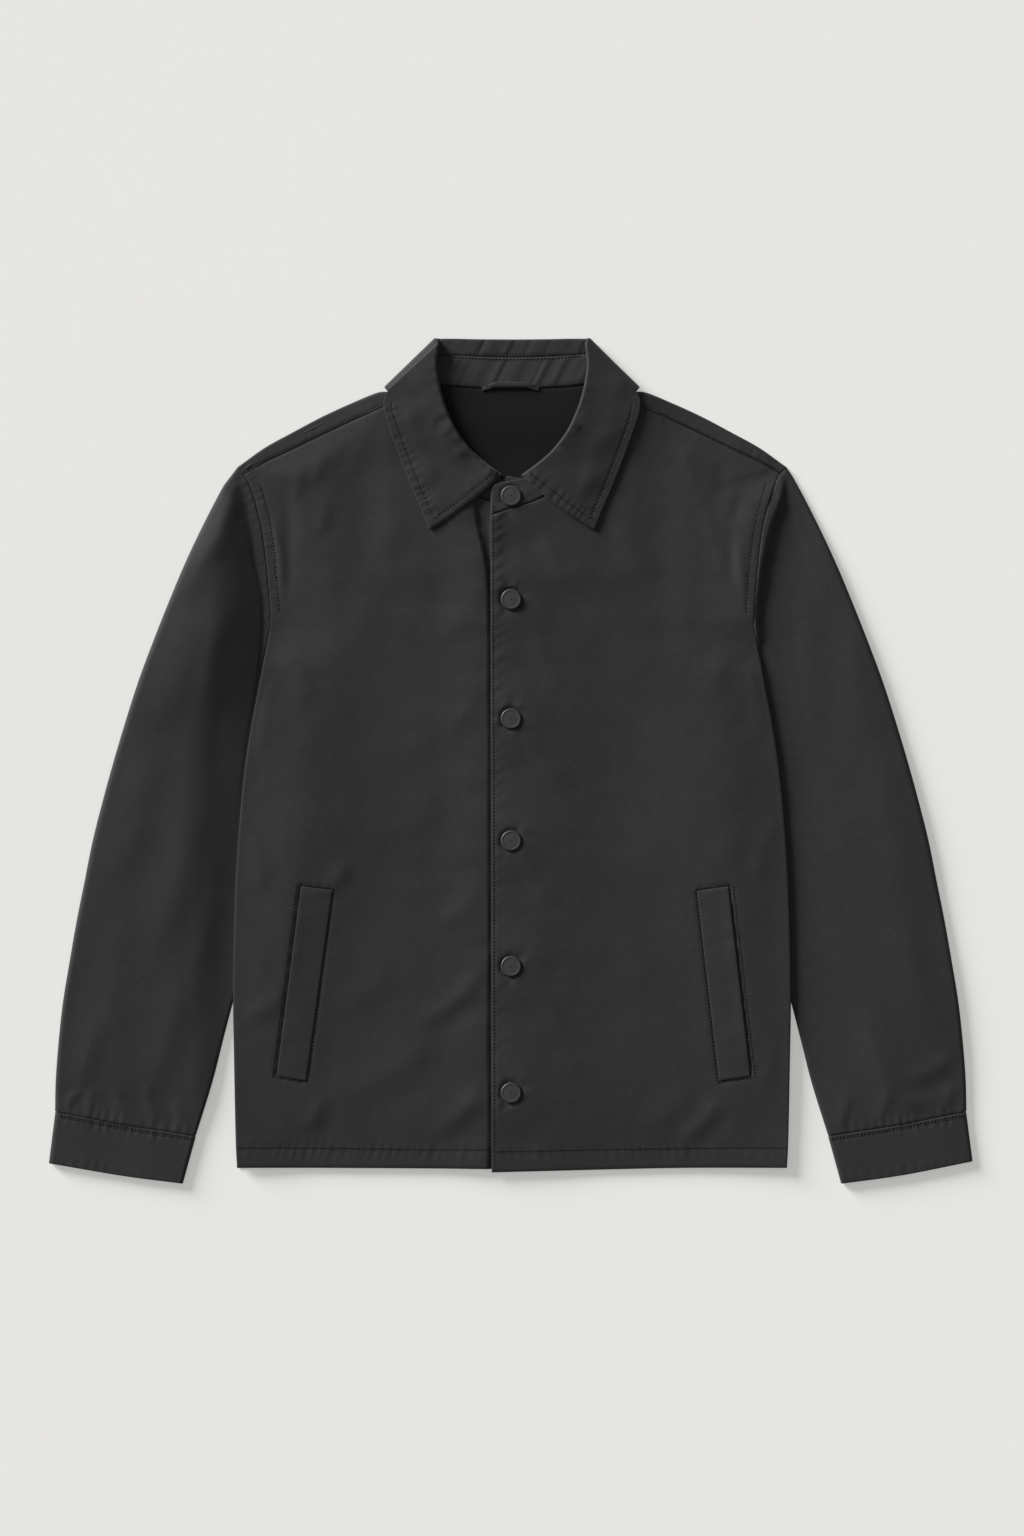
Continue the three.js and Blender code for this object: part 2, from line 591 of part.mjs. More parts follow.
function geometryOf(solid) {
  const { vertProperties, triVerts } = solid.getMesh();
  const geometry = new THREE.BufferGeometry();
  geometry.setAttribute("position", new THREE.BufferAttribute(vertProperties, 3));
  geometry.setIndex(new THREE.BufferAttribute(triVerts, 1));
  return geometry;
}

// The back with both shoulder strips joined on.
function backGeometry(grid) {
  let solid = solidOf(wallOn(grid, CLOTH));
  for (const side of [-1, 1]) solid = solid.add(solidOf(shoulderStrip(side)));
  return geometryOf(solid);
}

// The reverse-side cloth on the back, where the open neck shows it: the back's own points, moved up.
function reverseGeometry(grid) {
  const firstRow = SHARED_YS.indexOf(REVERSE_BOTTOM_Y);
  const middle = (grid[0].length - 1) / 2;
  const reach = BACK_COLUMNS.length + NECK_COLUMN + 1; // columns from the middle to the corner of the neck
  const moved = grid
    .slice(firstRow)
    .map((row) => row.slice(middle - reach + 1, middle + reach))
    .map((row) => row.map((p) => new THREE.Vector3(p.x, p.y, p.z + CLOTH + GAP)));
  return wallOn(moved, REVERSE_CLOTH);
}

// A ring of points round a flattened tube, from its inner edge over the top and back underneath.
// row gives plan points across the tube, height its top; inset shrinks the ring by a wall's thickness.
function flatRing(row, height, inset) {
  const first = row[0];
  const last = row[row.length - 1];
  const fromFirst = row[1].clone().sub(first).normalize();
  const fromLast = row[row.length - 2].clone().sub(last).normalize();
  const point = (p, z) => new THREE.Vector3(p.x, p.y, z);
  const corner = (end, inward, turn) => {
    const half = height(end) / 2;
    const radius = half - inset;
    const p = end.clone().addScaledVector(inward, inset + radius * (1 - Math.cos(turn)));
    return point(p, half + radius * Math.sin(turn));
  };
  const inside = row.slice(1, -1);
  const quarter = Math.PI / 2;
  return [
    corner(first, fromFirst, 0),
    corner(first, fromFirst, quarter / 2),
    corner(first, fromFirst, quarter),
    ...inside.map((p) => point(p, height(p) - inset)),
    corner(last, fromLast, quarter),
    corner(last, fromLast, quarter / 2),
    corner(last, fromLast, 0),
    corner(last, fromLast, -quarter / 2),
    corner(last, fromLast, -quarter),
    ...inside.map((p) => point(p, inset)).reverse(),
    corner(first, fromFirst, -quarter),
    corner(first, fromFirst, -quarter / 2),
  ];
}

// Plan points of a sleeve, blended between its four edges: the inner and outer edge, armhole and cuff seam.
function sleeveRow(v) {
  const inner = curveThrough(SLEEVE_INNER);
  const outer = curveThrough(SLEEVE_OUTER);
  const start = curveThrough(ARMHOLE.map(({ x, y }) => ({ x: x + 2 * SEAM_GAP, y })));
  const end = curveThrough(CUFF_TOP.map(({ x, y }) => ({ x: x + SEAM_GAP, y: y + SEAM_GAP })));
  const corners = [inner.getPointAt(0), outer.getPointAt(0), inner.getPointAt(1), outer.getPointAt(1)];
  return [0, ...SLEEVE_ACROSS, 1].map((q) => {
    const across = start.getPointAt(q).lerp(end.getPointAt(q), v);
    const along = inner.getPointAt(v).lerp(outer.getPointAt(v), q);
    const low = corners[0].clone().lerp(corners[1], q);
    const high = corners[2].clone().lerp(corners[3], q);
    const bilinear = low.lerp(high, v);
    return new THREE.Vector2(across.x + along.x - bilinear.x, across.y + along.y - bilinear.y);
  });
}

function placed(ring, side) {
  return ring.map((p) => new THREE.Vector3(side * p.x, p.y, p.z));
}

function sleeveGeometry(side) {
  const outer = [];
  const inner = [];
  for (let i = 0; i < SLEEVE_RINGS; i++) {
    const row = sleeveRow((i / (SLEEVE_RINGS - 1)) ** RING_CROWDING);
    const height = (p) => sleeveTop(side, p.x, p.y);
    outer.push(placed(flatRing(row, height, 0), side));
    inner.push(placed(flatRing(row, height, CLOTH), side));
  }
  return closedTube(outer, inner);
}

function cuffGeometry(side) {
  const top = curveThrough(CUFF_TOP);
  const bottom = curveThrough(CUFF_BOTTOM);
  const rings = 4;
  const across = 9;
  const height = () => 2 * BAND + GAP + CUFF_AIR.cuff;
  const outer = [];
  const inner = [];
  for (let i = 0; i < rings; i++) {
    const row = [];
    for (let k = 0; k < across; k++) {
      const q = k / (across - 1);
      const p = top.getPointAt(q).lerp(bottom.getPointAt(q), i / (rings - 1));
      row.push(new THREE.Vector2(p.x, p.y));
    }
    outer.push(placed(flatRing(row, height, 0), side));
    inner.push(placed(flatRing(row, height, BAND), side));
  }
  return closedTube(outer, inner);
}

// Sections of the flattened collar, from the under end round the back of the neck to the over end.
// angle is 90 degrees where the collar lies on the fronts and -90 where it lies behind the neck.
function collarStations(ends) {
  const turnAngles = [60, 30, 0, -30, -60];
  const turnFold = (k) => COLLAR_TURN.fold.map((c, axis) => lerp(c, TURN_FOLD_END[axis], k / 4));
  const half = [
    ...ends.map((row) => ({ ...row, angle: 90 })),
    ...COLLAR_FRONT.map((row) => ({ ...row, angle: 90 })),
    ...turnAngles.map((angle, k) => ({ ...COLLAR_TURN, fold: turnFold(k), angle })),
    ...COLLAR_BACK.map((row) => ({ ...row, angle: -90 })),
  ];
  const under = half.map((row) => ({ ...row, side: -1 }));
  const over = half.map((row) => ({ ...row, side: 1 })).reverse();
  return [...under, ...over.slice(1)];
}

// Puts a plan point of the collar in its place. front and back are its heights on the two sides of
// the turn at the neck, and outward is the direction in which the turn bulges.
function onCollar(station, x, y, front, back, outward) {
  const turn = THREE.MathUtils.degToRad(station.angle);
  const radius = (front - back) / 2;
  const bulge = radius * Math.cos(turn);
  const z = (front + back) / 2 + radius * Math.sin(turn);
  return new THREE.Vector3(station.side * (x + outward.x * bulge), y + outward.y * bulge, z);
}

// The turn of the stand bulges square to its crease, and the turn of the fall square to its own.
function outwardFrom(from, to) {
  return new THREE.Vector2(from[1] - to[1], to[0] - from[0]).normalize();
}
const STAND_OUTWARD = outwardFrom(COLLAR_TURN.seam, COLLAR_TURN.neck);
const FALL_OUTWARD = outwardFrom(COLLAR_TURN.fold, COLLAR_TURN.edge);

function standFront(side, x, y, thickness) {
  const base = CLOTH + GAP + REVERSE_CLOTH + GAP + collarRise(x, y);
  return base + placketRise(side, x, BAND + GAP) + thickness / 2;
}

// The collar stand: a double band from the neck seam to the seam of the fall.
function standGeometry() {
  const shares = [0, 0.33, 0.67, 1];
  const neckShare = 0.02; // the band starts just off the neck seam
  const middle = collarStations(STAND_END).map((station) => {
    const { neck, seam, side } = station;
    const free = STAND_END.some((row) => row.neck === neck);
    const lift = free && side < 0 ? UNDER_END_LIFT : 0;
    const length = Math.hypot(seam[0] - neck[0], seam[1] - neck[1]);
    return shares.map((share) => {
      const t = lerp(neckShare, 1 - (free ? 0 : STAND_CLEAR / length), share);
      const x = lerp(neck[0], seam[0], t);
      const y = lerp(neck[1], seam[1], t) + lift * t;
      const front = standFront(side, x, y, BAND);
      const back = CLOTH + GAP + lerp(REVERSE_EDGE, 0, t) + BAND / 2;
      return onCollar(station, x, y, front, back, STAND_OUTWARD);
    });
  });
  return wallRound(middle, BAND);
}

// The fall: a short inner leg up from the stand, a fold, and the outer leg down to the collar's edge.
function fallGeometry() {
  const foldSteps = 4;
  const outerShares = [0.14, 0.36, 0.58, 0.79, 1];
  const stations = collarStations([]);
  const middle = stations.map((station) => {
    const { seam, fold, edge, side, angle } = station;
    const f = new THREE.Vector2(...fold);
    const toSeam = new THREE.Vector2(...seam).sub(f);
    const toEdge = new THREE.Vector2(...edge).sub(f);
    const level = (p, share) => {
      const innerFront = standFront(side, p.x, p.y, CLOTH);
      const outerFront = innerFront + BAND + GAP + POINT_LOFT;
      const innerBack = CLOTH + GAP + CLOTH / 2;
      const front = lerp(innerFront, outerFront, share);
      const back = lerp(innerBack, CLOTH / 2, share);
      const outward = STAND_OUTWARD.clone().lerp(FALL_OUTWARD, share).normalize();
      return onCollar(station, p.x, p.y, front, back, outward);
    };
    const apart = angle > 0 ? BAND + GAP + POINT_LOFT : CLOTH + GAP;
    const radius = apart / 2;
    const start = Math.abs(angle) < 90 ? 0 : CLOTH / 2;
    const section = [level(new THREE.Vector2(...seam), 0)];
    for (let k = 0; k <= foldSteps; k++) {
      const turn = (k / foldSteps - 0.5) * Math.PI;
      const share = (1 + Math.sin(turn)) / 2;
      const leg = toSeam.clone().normalize().lerp(toEdge.clone().normalize(), share).normalize();
      const depth = start + radius * (1 - Math.cos(turn));
      section.push(level(f.clone().addScaledVector(leg, depth), share));
    }
    const isEnd = station === stations[0] || station === stations[stations.length - 1];
    for (const share of outerShares) {
      const p = f.clone().addScaledVector(toEdge, share);
      if (isEnd) p.y -= POINT_BULGE * 4 * share * (1 - share);
      section.push(level(p, 1));
    }
    return section;
  });
  return wallRound(middle, CLOTH);
}

// A pocket welt: a band on the front, made from the front's own height at its points.
function weltGeometry(front, { side, top, topY, bottom }) {
  const lower = [];
  const rows = 14;
  const columns = 4;
  for (let i = 0; i <= rows; i++) {
    const row = [];
    for (let j = 0; j <= columns; j++) {
      const [v, u] = [i / rows, j / columns];
      const x = side * lerp(lerp(bottom[0], bottom[1], u), lerp(top[0], top[1], u), v);
      const y = lerp(lerp(WELT_BOTTOM_Y[0], WELT_BOTTOM_Y[1], u), lerp(topY[0], topY[1], u), v);
      row.push(new THREE.Vector3(x, y, heightOn(front, CLOTH, x, y) + GAP));
    }
    lower.push(row);
  }
  return wallOn(lower, CLOTH);
}

// A snap cap: a low disc with a rounded rim and a slightly sunken face, turned about its axis.
function snapGeometry() {
  const { radius, height, rim, recess } = SNAP;
  const profile = [
    [0, 0],
    [radius, 0],
    [radius, height - rim],
    [radius - rim, height],
    [radius - 2 * rim, height - recess],
    [0, height - recess],
  ].map(([r, h]) => new THREE.Vector2(r, h));
  const geometry = new THREE.LatheGeometry(profile, 20);
  geometry.rotateX(Math.PI / 2);
  return geometry;
}

// The hanger loop: a tape sewn down at both ends over the neck seam and standing off between them.
function loopGeometry() {
  const steps = 10;
  const middle = [];
  const sewnZ = CLOTH + GAP + REVERSE_EDGE + BAND + GAP + LOOP.tape / 2;
  for (let i = 0; i <= steps; i++) {
    const t = i / steps;
    const arch = smooth(t / LOOP.end) * smooth((1 - t) / LOOP.end);
    const x = lerp(LOOP.x0, LOOP.x1, t);
    const z = sewnZ + LOOP.lift * arch;
    const y = LOOP.y + LOOP.arch * arch;
    middle.push([new THREE.Vector3(x, y - LOOP.width / 2, z), new THREE.Vector3(x, y + LOOP.width / 2, z)]);
  }
  return wallRound(middle, LOOP.tape);
}

const jacket = new THREE.Group();

function add(name, geometry, color, roughness, metalness = 0) {
  const mesh = new THREE.Mesh(geometry, new THREE.MeshStandardMaterial({ color, roughness, metalness }));
  mesh.name = name;
  jacket.add(mesh);
  return mesh;
}

const back = backGrid();
const underFront = frontGrid(-1);
const overFront = frontGrid(1);
const clothRoughness = 0.85;
const capEdges = [-SNAP.radius, 0, SNAP.radius];

add("back", backGeometry(back), CHARCOAL, clothRoughness);
add("reverse_back", reverseGeometry(back), REVERSE_BLACK, 0.95);
add("front_right", wallOn(underFront, CLOTH), CHARCOAL, clothRoughness);
add("front_left", wallOn(overFront, CLOTH), CHARCOAL, clothRoughness);
for (const [wearer, side] of [["right", -1], ["left", 1]]) {
  add("sleeve_" + wearer, sleeveGeometry(side), CHARCOAL, clothRoughness);
  add("cuff_" + wearer, cuffGeometry(side), CHARCOAL, clothRoughness);
}
add("collar_stand", standGeometry(), CHARCOAL, clothRoughness);
add("collar_fall", fallGeometry(), CHARCOAL, clothRoughness);
add("hanger_loop", loopGeometry(), CHARCOAL, clothRoughness);
for (const welt of POCKET_WELTS) {
  const front = welt.side > 0 ? overFront : underFront;
  add(welt.name, weltGeometry(front, welt), CHARCOAL, clothRoughness);
}
SNAP_YS.forEach((y, index) => {
  const snap = add("snap_" + (index + 1), snapGeometry(), SNAP_GREY, 0.5, 0.2);
  const onStand = index === 0;
  const clothTop = onStand
    ? standFront(1, SNAP_X, y, BAND) + BAND / 2
    : Math.max(...capEdges.map((dx) => heightOn(overFront, CLOTH, SNAP_X + dx, y)));
  snap.position.set(SNAP_X, y, clothTop + SEAM_GAP);
});

export default jacket;
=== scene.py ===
import math

import bpy
import numpy as np
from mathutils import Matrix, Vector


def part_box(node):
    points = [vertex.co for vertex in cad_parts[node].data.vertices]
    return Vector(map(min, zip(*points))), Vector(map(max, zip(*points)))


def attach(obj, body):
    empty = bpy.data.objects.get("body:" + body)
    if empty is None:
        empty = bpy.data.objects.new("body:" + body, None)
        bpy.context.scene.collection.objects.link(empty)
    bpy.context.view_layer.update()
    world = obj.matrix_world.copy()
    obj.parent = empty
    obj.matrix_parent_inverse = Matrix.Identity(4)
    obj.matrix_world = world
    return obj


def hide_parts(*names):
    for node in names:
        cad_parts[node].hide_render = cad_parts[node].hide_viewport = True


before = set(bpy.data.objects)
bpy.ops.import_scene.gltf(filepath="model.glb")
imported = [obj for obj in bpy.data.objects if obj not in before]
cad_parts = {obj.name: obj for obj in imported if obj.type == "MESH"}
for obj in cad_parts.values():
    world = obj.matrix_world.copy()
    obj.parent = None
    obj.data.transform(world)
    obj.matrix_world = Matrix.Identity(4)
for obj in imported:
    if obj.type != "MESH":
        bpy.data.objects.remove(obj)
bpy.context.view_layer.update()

# A reversible snap-front shirt jacket in plain charcoal cloth, snapped shut and laid flat, seen from above.
# Shapes are worked out in millimetres and put into meshes in metres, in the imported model's own frame:
# +X is the viewer's right, +Y points to the collar, +Z is up from the surface that the jacket lies on.
# Outlines and tables are given for one side, with x counted away from the centre line on that side.

bl_info = {
    "name": "Laid-out shirt jacket",
    "version": (1, 0, 0),
    "blender": (4, 5, 0),
    "location": "3D View > Sidebar > Jacket",
    "description": "Cloth, sewing and snaps of a shirt jacket laid flat",
    "category": "Add Mesh",
}

MM = 0.001
SIDES = (-1, 1)  # the viewer's left and right, which are the wearer's right and left
WEARER = {-1: "right", 1: "left"}
FRONTS = {-1: "under_front", 1: "over_front"}

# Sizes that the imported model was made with
CLOTH = 1.6  # wall of the shell cloth
REVERSE_CLOTH = 1.2  # wall of the reverse-side cloth in the neck
BAND = 2.0  # wall of the stiffened pieces: placket, collar stand and cuffs
GAP = 0.4  # air between two layers
SEAM_GAP = 0.35  # air between two pieces at a seam
SLEEVE_HEIGHT = 2 * CLOTH + GAP
PLACKET_REACH = 19.0  # how far the placket reaches over the centre line
RIM = 0.45  # how far in a turned cloth edge reaches its full thickness
CLOSE = np.array([0.0, 0.1, 0.4]) * RIM  # places of the close lines in a turned edge
HEM_Y = -366
UNDERARM_Y = 121
CUFF_WIDTH = 122.0

SIDE_EDGE = [(247.5, -366.3), (248.5, -348), (250.2, -267), (251, -215), (250.2, -160), (248, -98),
             (245, -55), (240.5, -8), (234.3, 33), (225.5, 79), (218, 121)]
ARMHOLE = [(218, 121), (217.9, 135), (220.1, 163.8), (222.9, 191.3), (225.7, 210.6), (229.9, 228.5),
           (235.4, 246.4), (240.8, 257.5), (247.8, 264.3)]
SHOULDER_FOLD = [(95, 338), (104, 334.6), (112, 332.6), (119, 332.2), (143, 323), (170.6, 310.5),
                 (198, 296), (222.9, 282.2), (248, 264.3)]
SHOULDER_SEAM = [(95.5, 327.6), (116.8, 318), (143, 306.4), (170.6, 293.6), (198, 280.2),
                 (218.8, 270.5), (241.4, 258.2)]
SLEEVE_INNER = [(218.5, 121), (222.5, 101), (226.4, 79), (226.5, 62), (221, 30), (213, -5), (210, -40),
                (214, -80), (224, -125), (236.5, -170), (250, -213), (260, -251), (269, -287),
                (280, -323), (284.7, -337.6)]
SLEEVE_OUTER = [(248.4, 264.6), (255.6, 253), (274.5, 217), (291.6, 181), (306.9, 145), (321.3, 109),
                (334.8, 73), (346.5, 37), (357.3, 1), (367.2, -35), (376.2, -71), (383.4, -107),
                (390.6, -143), (396.9, -179), (402.8, -215), (406.8, -251), (409.5, -287), (410, -314)]
WIDER = 2.3  # how much farther out the outer edge of the sleeve on the viewer's left lies
CUFF_TOP = [(284.7, -338), (345, -328.5), (409.2, -316)]
CUFF_BOTTOM = [(296.5, -380.7), (350, -373.3), (415, -360.5)]

# Collar sections from the front end to the side of the neck: neck seam, seam of the fall, fold, outer edge
COLLAR_FRONT = [
    (14, 231.8, 10.5, 255, 8, 257.2, 74, 207.5),
    (26, 236.6, 22.6, 262.8, 20, 265.8, 80.5, 224),
    (40, 245.2, 36.6, 271.8, 32.4, 276, 87.5, 240),
    (52, 254.8, 46.7, 280.5, 41, 285.5, 95, 258.5),
    (64, 266.8, 56.3, 291, 49, 296.5, 102, 276.5),
    (78, 288, 67.8, 309.6, 57.5, 314, 108.5, 294.5),
    (85, 304, 73.2, 323.8, 62, 327, 113.4, 309),
    (89, 320, 76.6, 339.8, 65.5, 342, 115.4, 318.5),
    (89, 333, 77.5, 354, 67.5, 359, 115, 326),
    (84, 345, 73, 367.5, 65.8, 375.4, 111.6, 332.8),
]
COLLAR_BACK = [
    (84, 345, 73, 367.5, 64.6, 380.2, 111.6, 332.8),
    (74, 341, 64, 366.4, 61, 380.6, 95, 329),
    (58, 337.6, 54, 365.6, 52, 380.6, 76, 324),
    (38, 336, 36, 364.6, 35, 380.2, 50, 322.2),
    (19, 335.4, 18, 363.9, 17.5, 380, 25, 321.3),
    (0, 335.2, 0, 363.6, 0, 379.9, 0, 321),
]
STAND_END = [(-19.2, 221.4, -19.2, 240), (-17.4, 221.9, -17.2, 246.6), (-13, 223.3, -12.5, 250),
             (-4, 226.4, -3, 251.8), (5, 229.1, 4, 253.4)]
UNDER_END_LIFT = 3.4  # how much higher the under end of the stand shows than the one over it
TOP_Y = 379.75  # the turned corners of the collar are pressed level with the fold behind the neck
POINT_BULGE = 2.6  # how far the front edge of a collar point bows out
POINT_LOFT = 0.6  # air under a collar point
INNER_LEG = 14  # width of the fall between its seam and its fold
OUTER_LEG = 60  # width of the fall between its fold and its edge
NECK_SEAM = 1.2  # how much thicker the back is where the stand is sewn to it
STEEP = 1.5  # a turn angle past this, just under a quarter circle, is on the fronts or behind the neck
RIB_PITCH = 2.9  # from one rib to the next along the seam between stand and fall

# Welts of the two sides: x of the inner and outer corner at the top, their y, and the same at the bottom
WELTS = {
    -1: ((161.6, 189.5), (-116.4, -112.8), (185.3, 211.8), (-287.7, -283.4)),
    1: ((166.4, 194.4), (-117, -112.8), (186.5, 214.5), (-287.7, -283.4)),
}
WELT_BED = 0.8  # how deep a welt is pressed into its front
WELT_SLIT = 0.9  # how much deeper the open slit beside its outer edge is
WELT_CLOTH = 1.0
WELT_STITCH = 1.6  # how far outside a welt it is sewn down
SLIT_REACH = 2.4  # how far past a welt's outer edge its last sewn line runs
SNAP_X = -0.9
SNAP_YS = (238.5, 145.4, 38.1, -71.6, -184.5, -298.2)
LOOP_X = (-27.0, 24.4)
LOOP_Y = 337.4
LOOP_TAPE = 1.2  # wall of the hanger loop's folded tape

STITCH_LENGTH = 1.8

# Heights that part the points of an upper face from those under it
CUFF_MIDDLE = 3.4
STRIP_TOP = 4.0
WING_TOP = 6.4
BEHIND_NECK = (2.6, 6.2)

# Soft folds: start x, y, end x, y, sideways bow, half width, height; a height below 0 is a trough.
OVER_FRONT_FOLDS = [
    (40, 205, 122, 118, 6, 17, 1.5), (24, 214, 60, 150, 4, 9, 1.2), (92, 214, 130, 168, 4, 10, 0.9),
    (204, 196, 211, 150, 2, 5, 1.5), (196, 215, 202, 165, 2, 7, -1.0), (176, 228, 182, 196, 2, 7, 0.9),
    (208, 240, 200, 214, 1, 6, -1.0), (156, 282, 168, 250, 2, 7, 0.9), (186, 268, 192, 240, 1, 6, -0.7),
    (12, 120, 42, 60, -4, 9, 0.8), (14, 24, 54, -22, 5, 8, 0.9), (30, -58, 112, -112, 8, 18, 1.1),
    (12, -92, 44, -128, 4, 7, 0.8), (14, -204, 46, -240, -3, 8, 0.8), (60, -150, 140, -210, 6, 20, 1.0),
    (152, -340, 188, -304, 3, 8, 1.5), (120, -330, 160, -296, 4, 11, 0.8), (222, -300, 236, -250, 2, 7, 0.7),
    (120, 40, 205, -30, 10, 24, 1.0), (226, 20, 214, 84, 4, 9, 1.3), (206, 104, 180, 60, 6, 11, 1.0),
    (232, -60, 222, -110, 3, 9, 0.9), (150, 150, 188, 90, 5, 16, 0.9),
]
UNDER_FRONT_FOLDS = [
    (24, -184, 82, -236, 5, 9, 1.7), (26, -292, 73, -337, 4, 9, 1.5), (72, -250, 166, -302, 8, 16, 1.3),
    (205, -206, 242, -232, 3, 9, 1.2), (170, -300, 188, -332, 3, 8, 1.3), (150, -92, 170, -118, 3, 8, 1.1),
    (24, 66, 60, 10, -5, 10, 0.8), (26, 170, 62, 110, 5, 12, 0.9), (214, 216, 208, 150, 2, 5, 1.7),
    (206, 244, 199, 190, 2, 7, -1.2), (168, 236, 176, 202, 2, 7, 0.9), (172, 276, 178, 250, 1, 6, 0.9),
    (150, 286, 158, 256, 2, 7, -0.7), (192, 262, 196, 236, 1, 6, 0.8), (120, 160, 168, 92, 6, 17, 0.9),
    (230, 12, 214, 74, 4, 9, 1.3), (206, 100, 184, 52, 5, 11, 1.0), (60, -20, 132, -70, 8, 20, 1.0),
    (30, -110, 70, -150, 4, 10, 0.8), (234, -70, 226, -120, 3, 8, 0.8), (110, -180, 158, -226, 6, 14, 0.8),
    (34, 238, 21, 208, -2, 6, -2.0), (22, 222, 20, 150, 0, 3.5, -1.4), (96, 226, 130, 190, 4, 12, 0.8),
]
SLEEVE_FOLDS = {
    -1: [
        (252, 244, 286, 168, 5, 8, 0.9), (272, 214, 300, 140, 4, 12, 1.0), (284, 130, 306, 40, 5, 14, 0.9),
        (244, 212, 237, 217, 0, 3, 0.8), (262, 130, 276, 40, -3, 11, 1.2), (300, 130, 322, 30, 6, 16, 1.0),
        (258, 60, 262, -20, -4, 12, -0.9), (330, 20, 356, -110, 8, 18, 1.2),
        (290, -40, 312, -160, 6, 16, 1.0), (262, -60, 284, -190, 5, 13, 1.2),
        (352, -150, 376, -270, 6, 16, 1.2), (300, -200, 328, -296, 6, 13, 1.0),
        (378, -230, 392, -296, 3, 9, 0.9), (402, -309, 386, -297, 1, 4, 0.8),
        (292, -334, 304, -306, 1, 5, 0.8), (318, -326, 330, -290, 2, 6, 0.9),
        (350, -322, 356, -292, 1, 6, 0.7), (380, -318, 378, -296, 1, 5, 0.8),
    ],
    1: [
        (247, 251, 270, 186, 1, 4.5, 1.1), (266, 196, 286, 140, 2, 9, 0.9), (258, 170, 268, 90, -3, 10, 0.8),
        (276, 214, 296, 150, 4, 10, 0.8), (260, 110, 272, 20, -3, 11, 1.0),
        (304, 120, 326, 20, 6, 17, 1.0), (258, 20, 266, -60, -3, 12, -1.0),
        (336, 0, 360, -120, 8, 18, 1.1), (280, -70, 300, -190, 6, 15, 1.1),
        (356, -130, 382, -250, 6, 16, 1.1), (318, -220, 352, -318, 6, 13, 1.3),
        (352, -286, 398, -262, 5, 9, 1.3), (348, -306, 388, -300, 3, 8, 1.0),
        (292, -332, 302, -300, 1, 5, 1.2), (384, -316, 396, -290, 2, 6, 1.0),
        (328, -326, 338, -296, 1, 6, 0.8), (262, -160, 278, -220, 3, 9, 0.9),
    ],
}
# How the sleeves fall away from the body, row by row from the head down: y, x of the crease, and then
# on the viewer's left the x and height of the crest above it, on the right the height of the strip before it
LEFT_HEAD = [(252, 246, 250, 0), (240, 243, 254, 3.2), (228, 240, 257, 5.4), (217, 238, 260, 7),
             (199, 233.5, 265, 9.4), (181, 231, 269, 11), (145, 223, 272, 12.2), (91, 224, 277, 11.8),
             (19, 235, 294, 8), (-60, 245, 300, 5), (-140, 249, 306, 3), (-230, 249, 306, 1.6),
             (-305, 249, 306, 0)]
RIGHT_HEAD = [(262, 246, 0), (250, 244, 1.6), (243, 243, 3.0), (232, 240.5, 4.8), (222, 236.5, 5.2),
              (210, 232.6, 5.5), (188, 227, 5.5), (163, 222.5, 5.3), (135, 219.5, 4.9), (112, 219.8, 4.6),
              (70, 228, 0)]

# Folds of the collar points, laid out as the fronts' folds
WING_FOLDS = {
    -1: [
        (70, 300, 56, 309, 1, 3.5, -0.5), (66, 292, 52, 303, -1, 3.5, 0.4), (45, 276, 33, 268, 1, 3, -0.8),
        (52, 280, 38, 274, -1, 3.5, 0.7), (96, 300, 70, 322, 4, 9, 0.7), (98, 262, 66, 250, 3, 9, 0.6),
        (84, 236, 62, 262, -3, 8, -0.5), (92, 330, 76, 352, 2, 8, 0.5),
    ],
    1: [
        (64, 315, 57, 309, 1, 3, -0.8), (62, 300, 53, 304, -1, 3, 0.7), (44, 282, 36, 278, 1, 3, -0.7),
        (98, 296, 66, 276, 4, 10, 0.8), (88, 262, 60, 240, 3, 9, 0.7), (96, 320, 80, 346, 3, 9, 0.5),
        (78, 236, 54, 256, -3, 7, -0.5),
    ],
}

# The stage. Lights are so large and far that the floor is even: compass bearing from +X, height and
# spread in degrees, strength
LIGHTS = (
    ("low_key_light", 140, 16, 24, 8.0),
    ("overhead_light", 140, 74, 60, 0.26),
)
SURROUND = (0.93, 0.93, 0.925, 1)
SURROUND_STRENGTH = 0.238
FLOOR_Z = -0.0002  # just under the cloth, so that the two faces don't meet
CAMERA_Y = -0.0063
LENS_MM = 85
SENSOR_MM = 36


def smooth(t):
    """Rises from 0 at t = 0 to 1 at t = 1 with no slope at either end."""
    c = np.clip(t, 0, 1)
    return c * c * (3 - 2 * c)


def mix(a, b, t):
    """a at t = 0 and b at t = 1, on a straight line between them."""
    return a + (b - a) * t


def bell(distance, width):
    """1 on a line and falling away on both sides as exp(-(distance / width) squared)."""
    return np.exp(-((distance / width) ** 2))


def xy_of(plan):
    """The x and the y of plan points, each as an array of their shape less its last axis."""
    return plan[..., 0], plan[..., 1]


def unit(vectors):
    """Vectors brought to length 1 along their last axis."""
    return vectors / np.linalg.norm(vectors, axis=-1, keepdims=True)


def even(points, count):
    """count points evenly spaced by arc length on the polyline through points."""
    step = np.linalg.norm(np.diff(points, axis=0), axis=1)
    run = np.concatenate([[0], np.cumsum(step)])
    wanted = np.linspace(0, run[-1], count)
    return np.stack([np.interp(wanted, run, column) for column in points.T], axis=1)


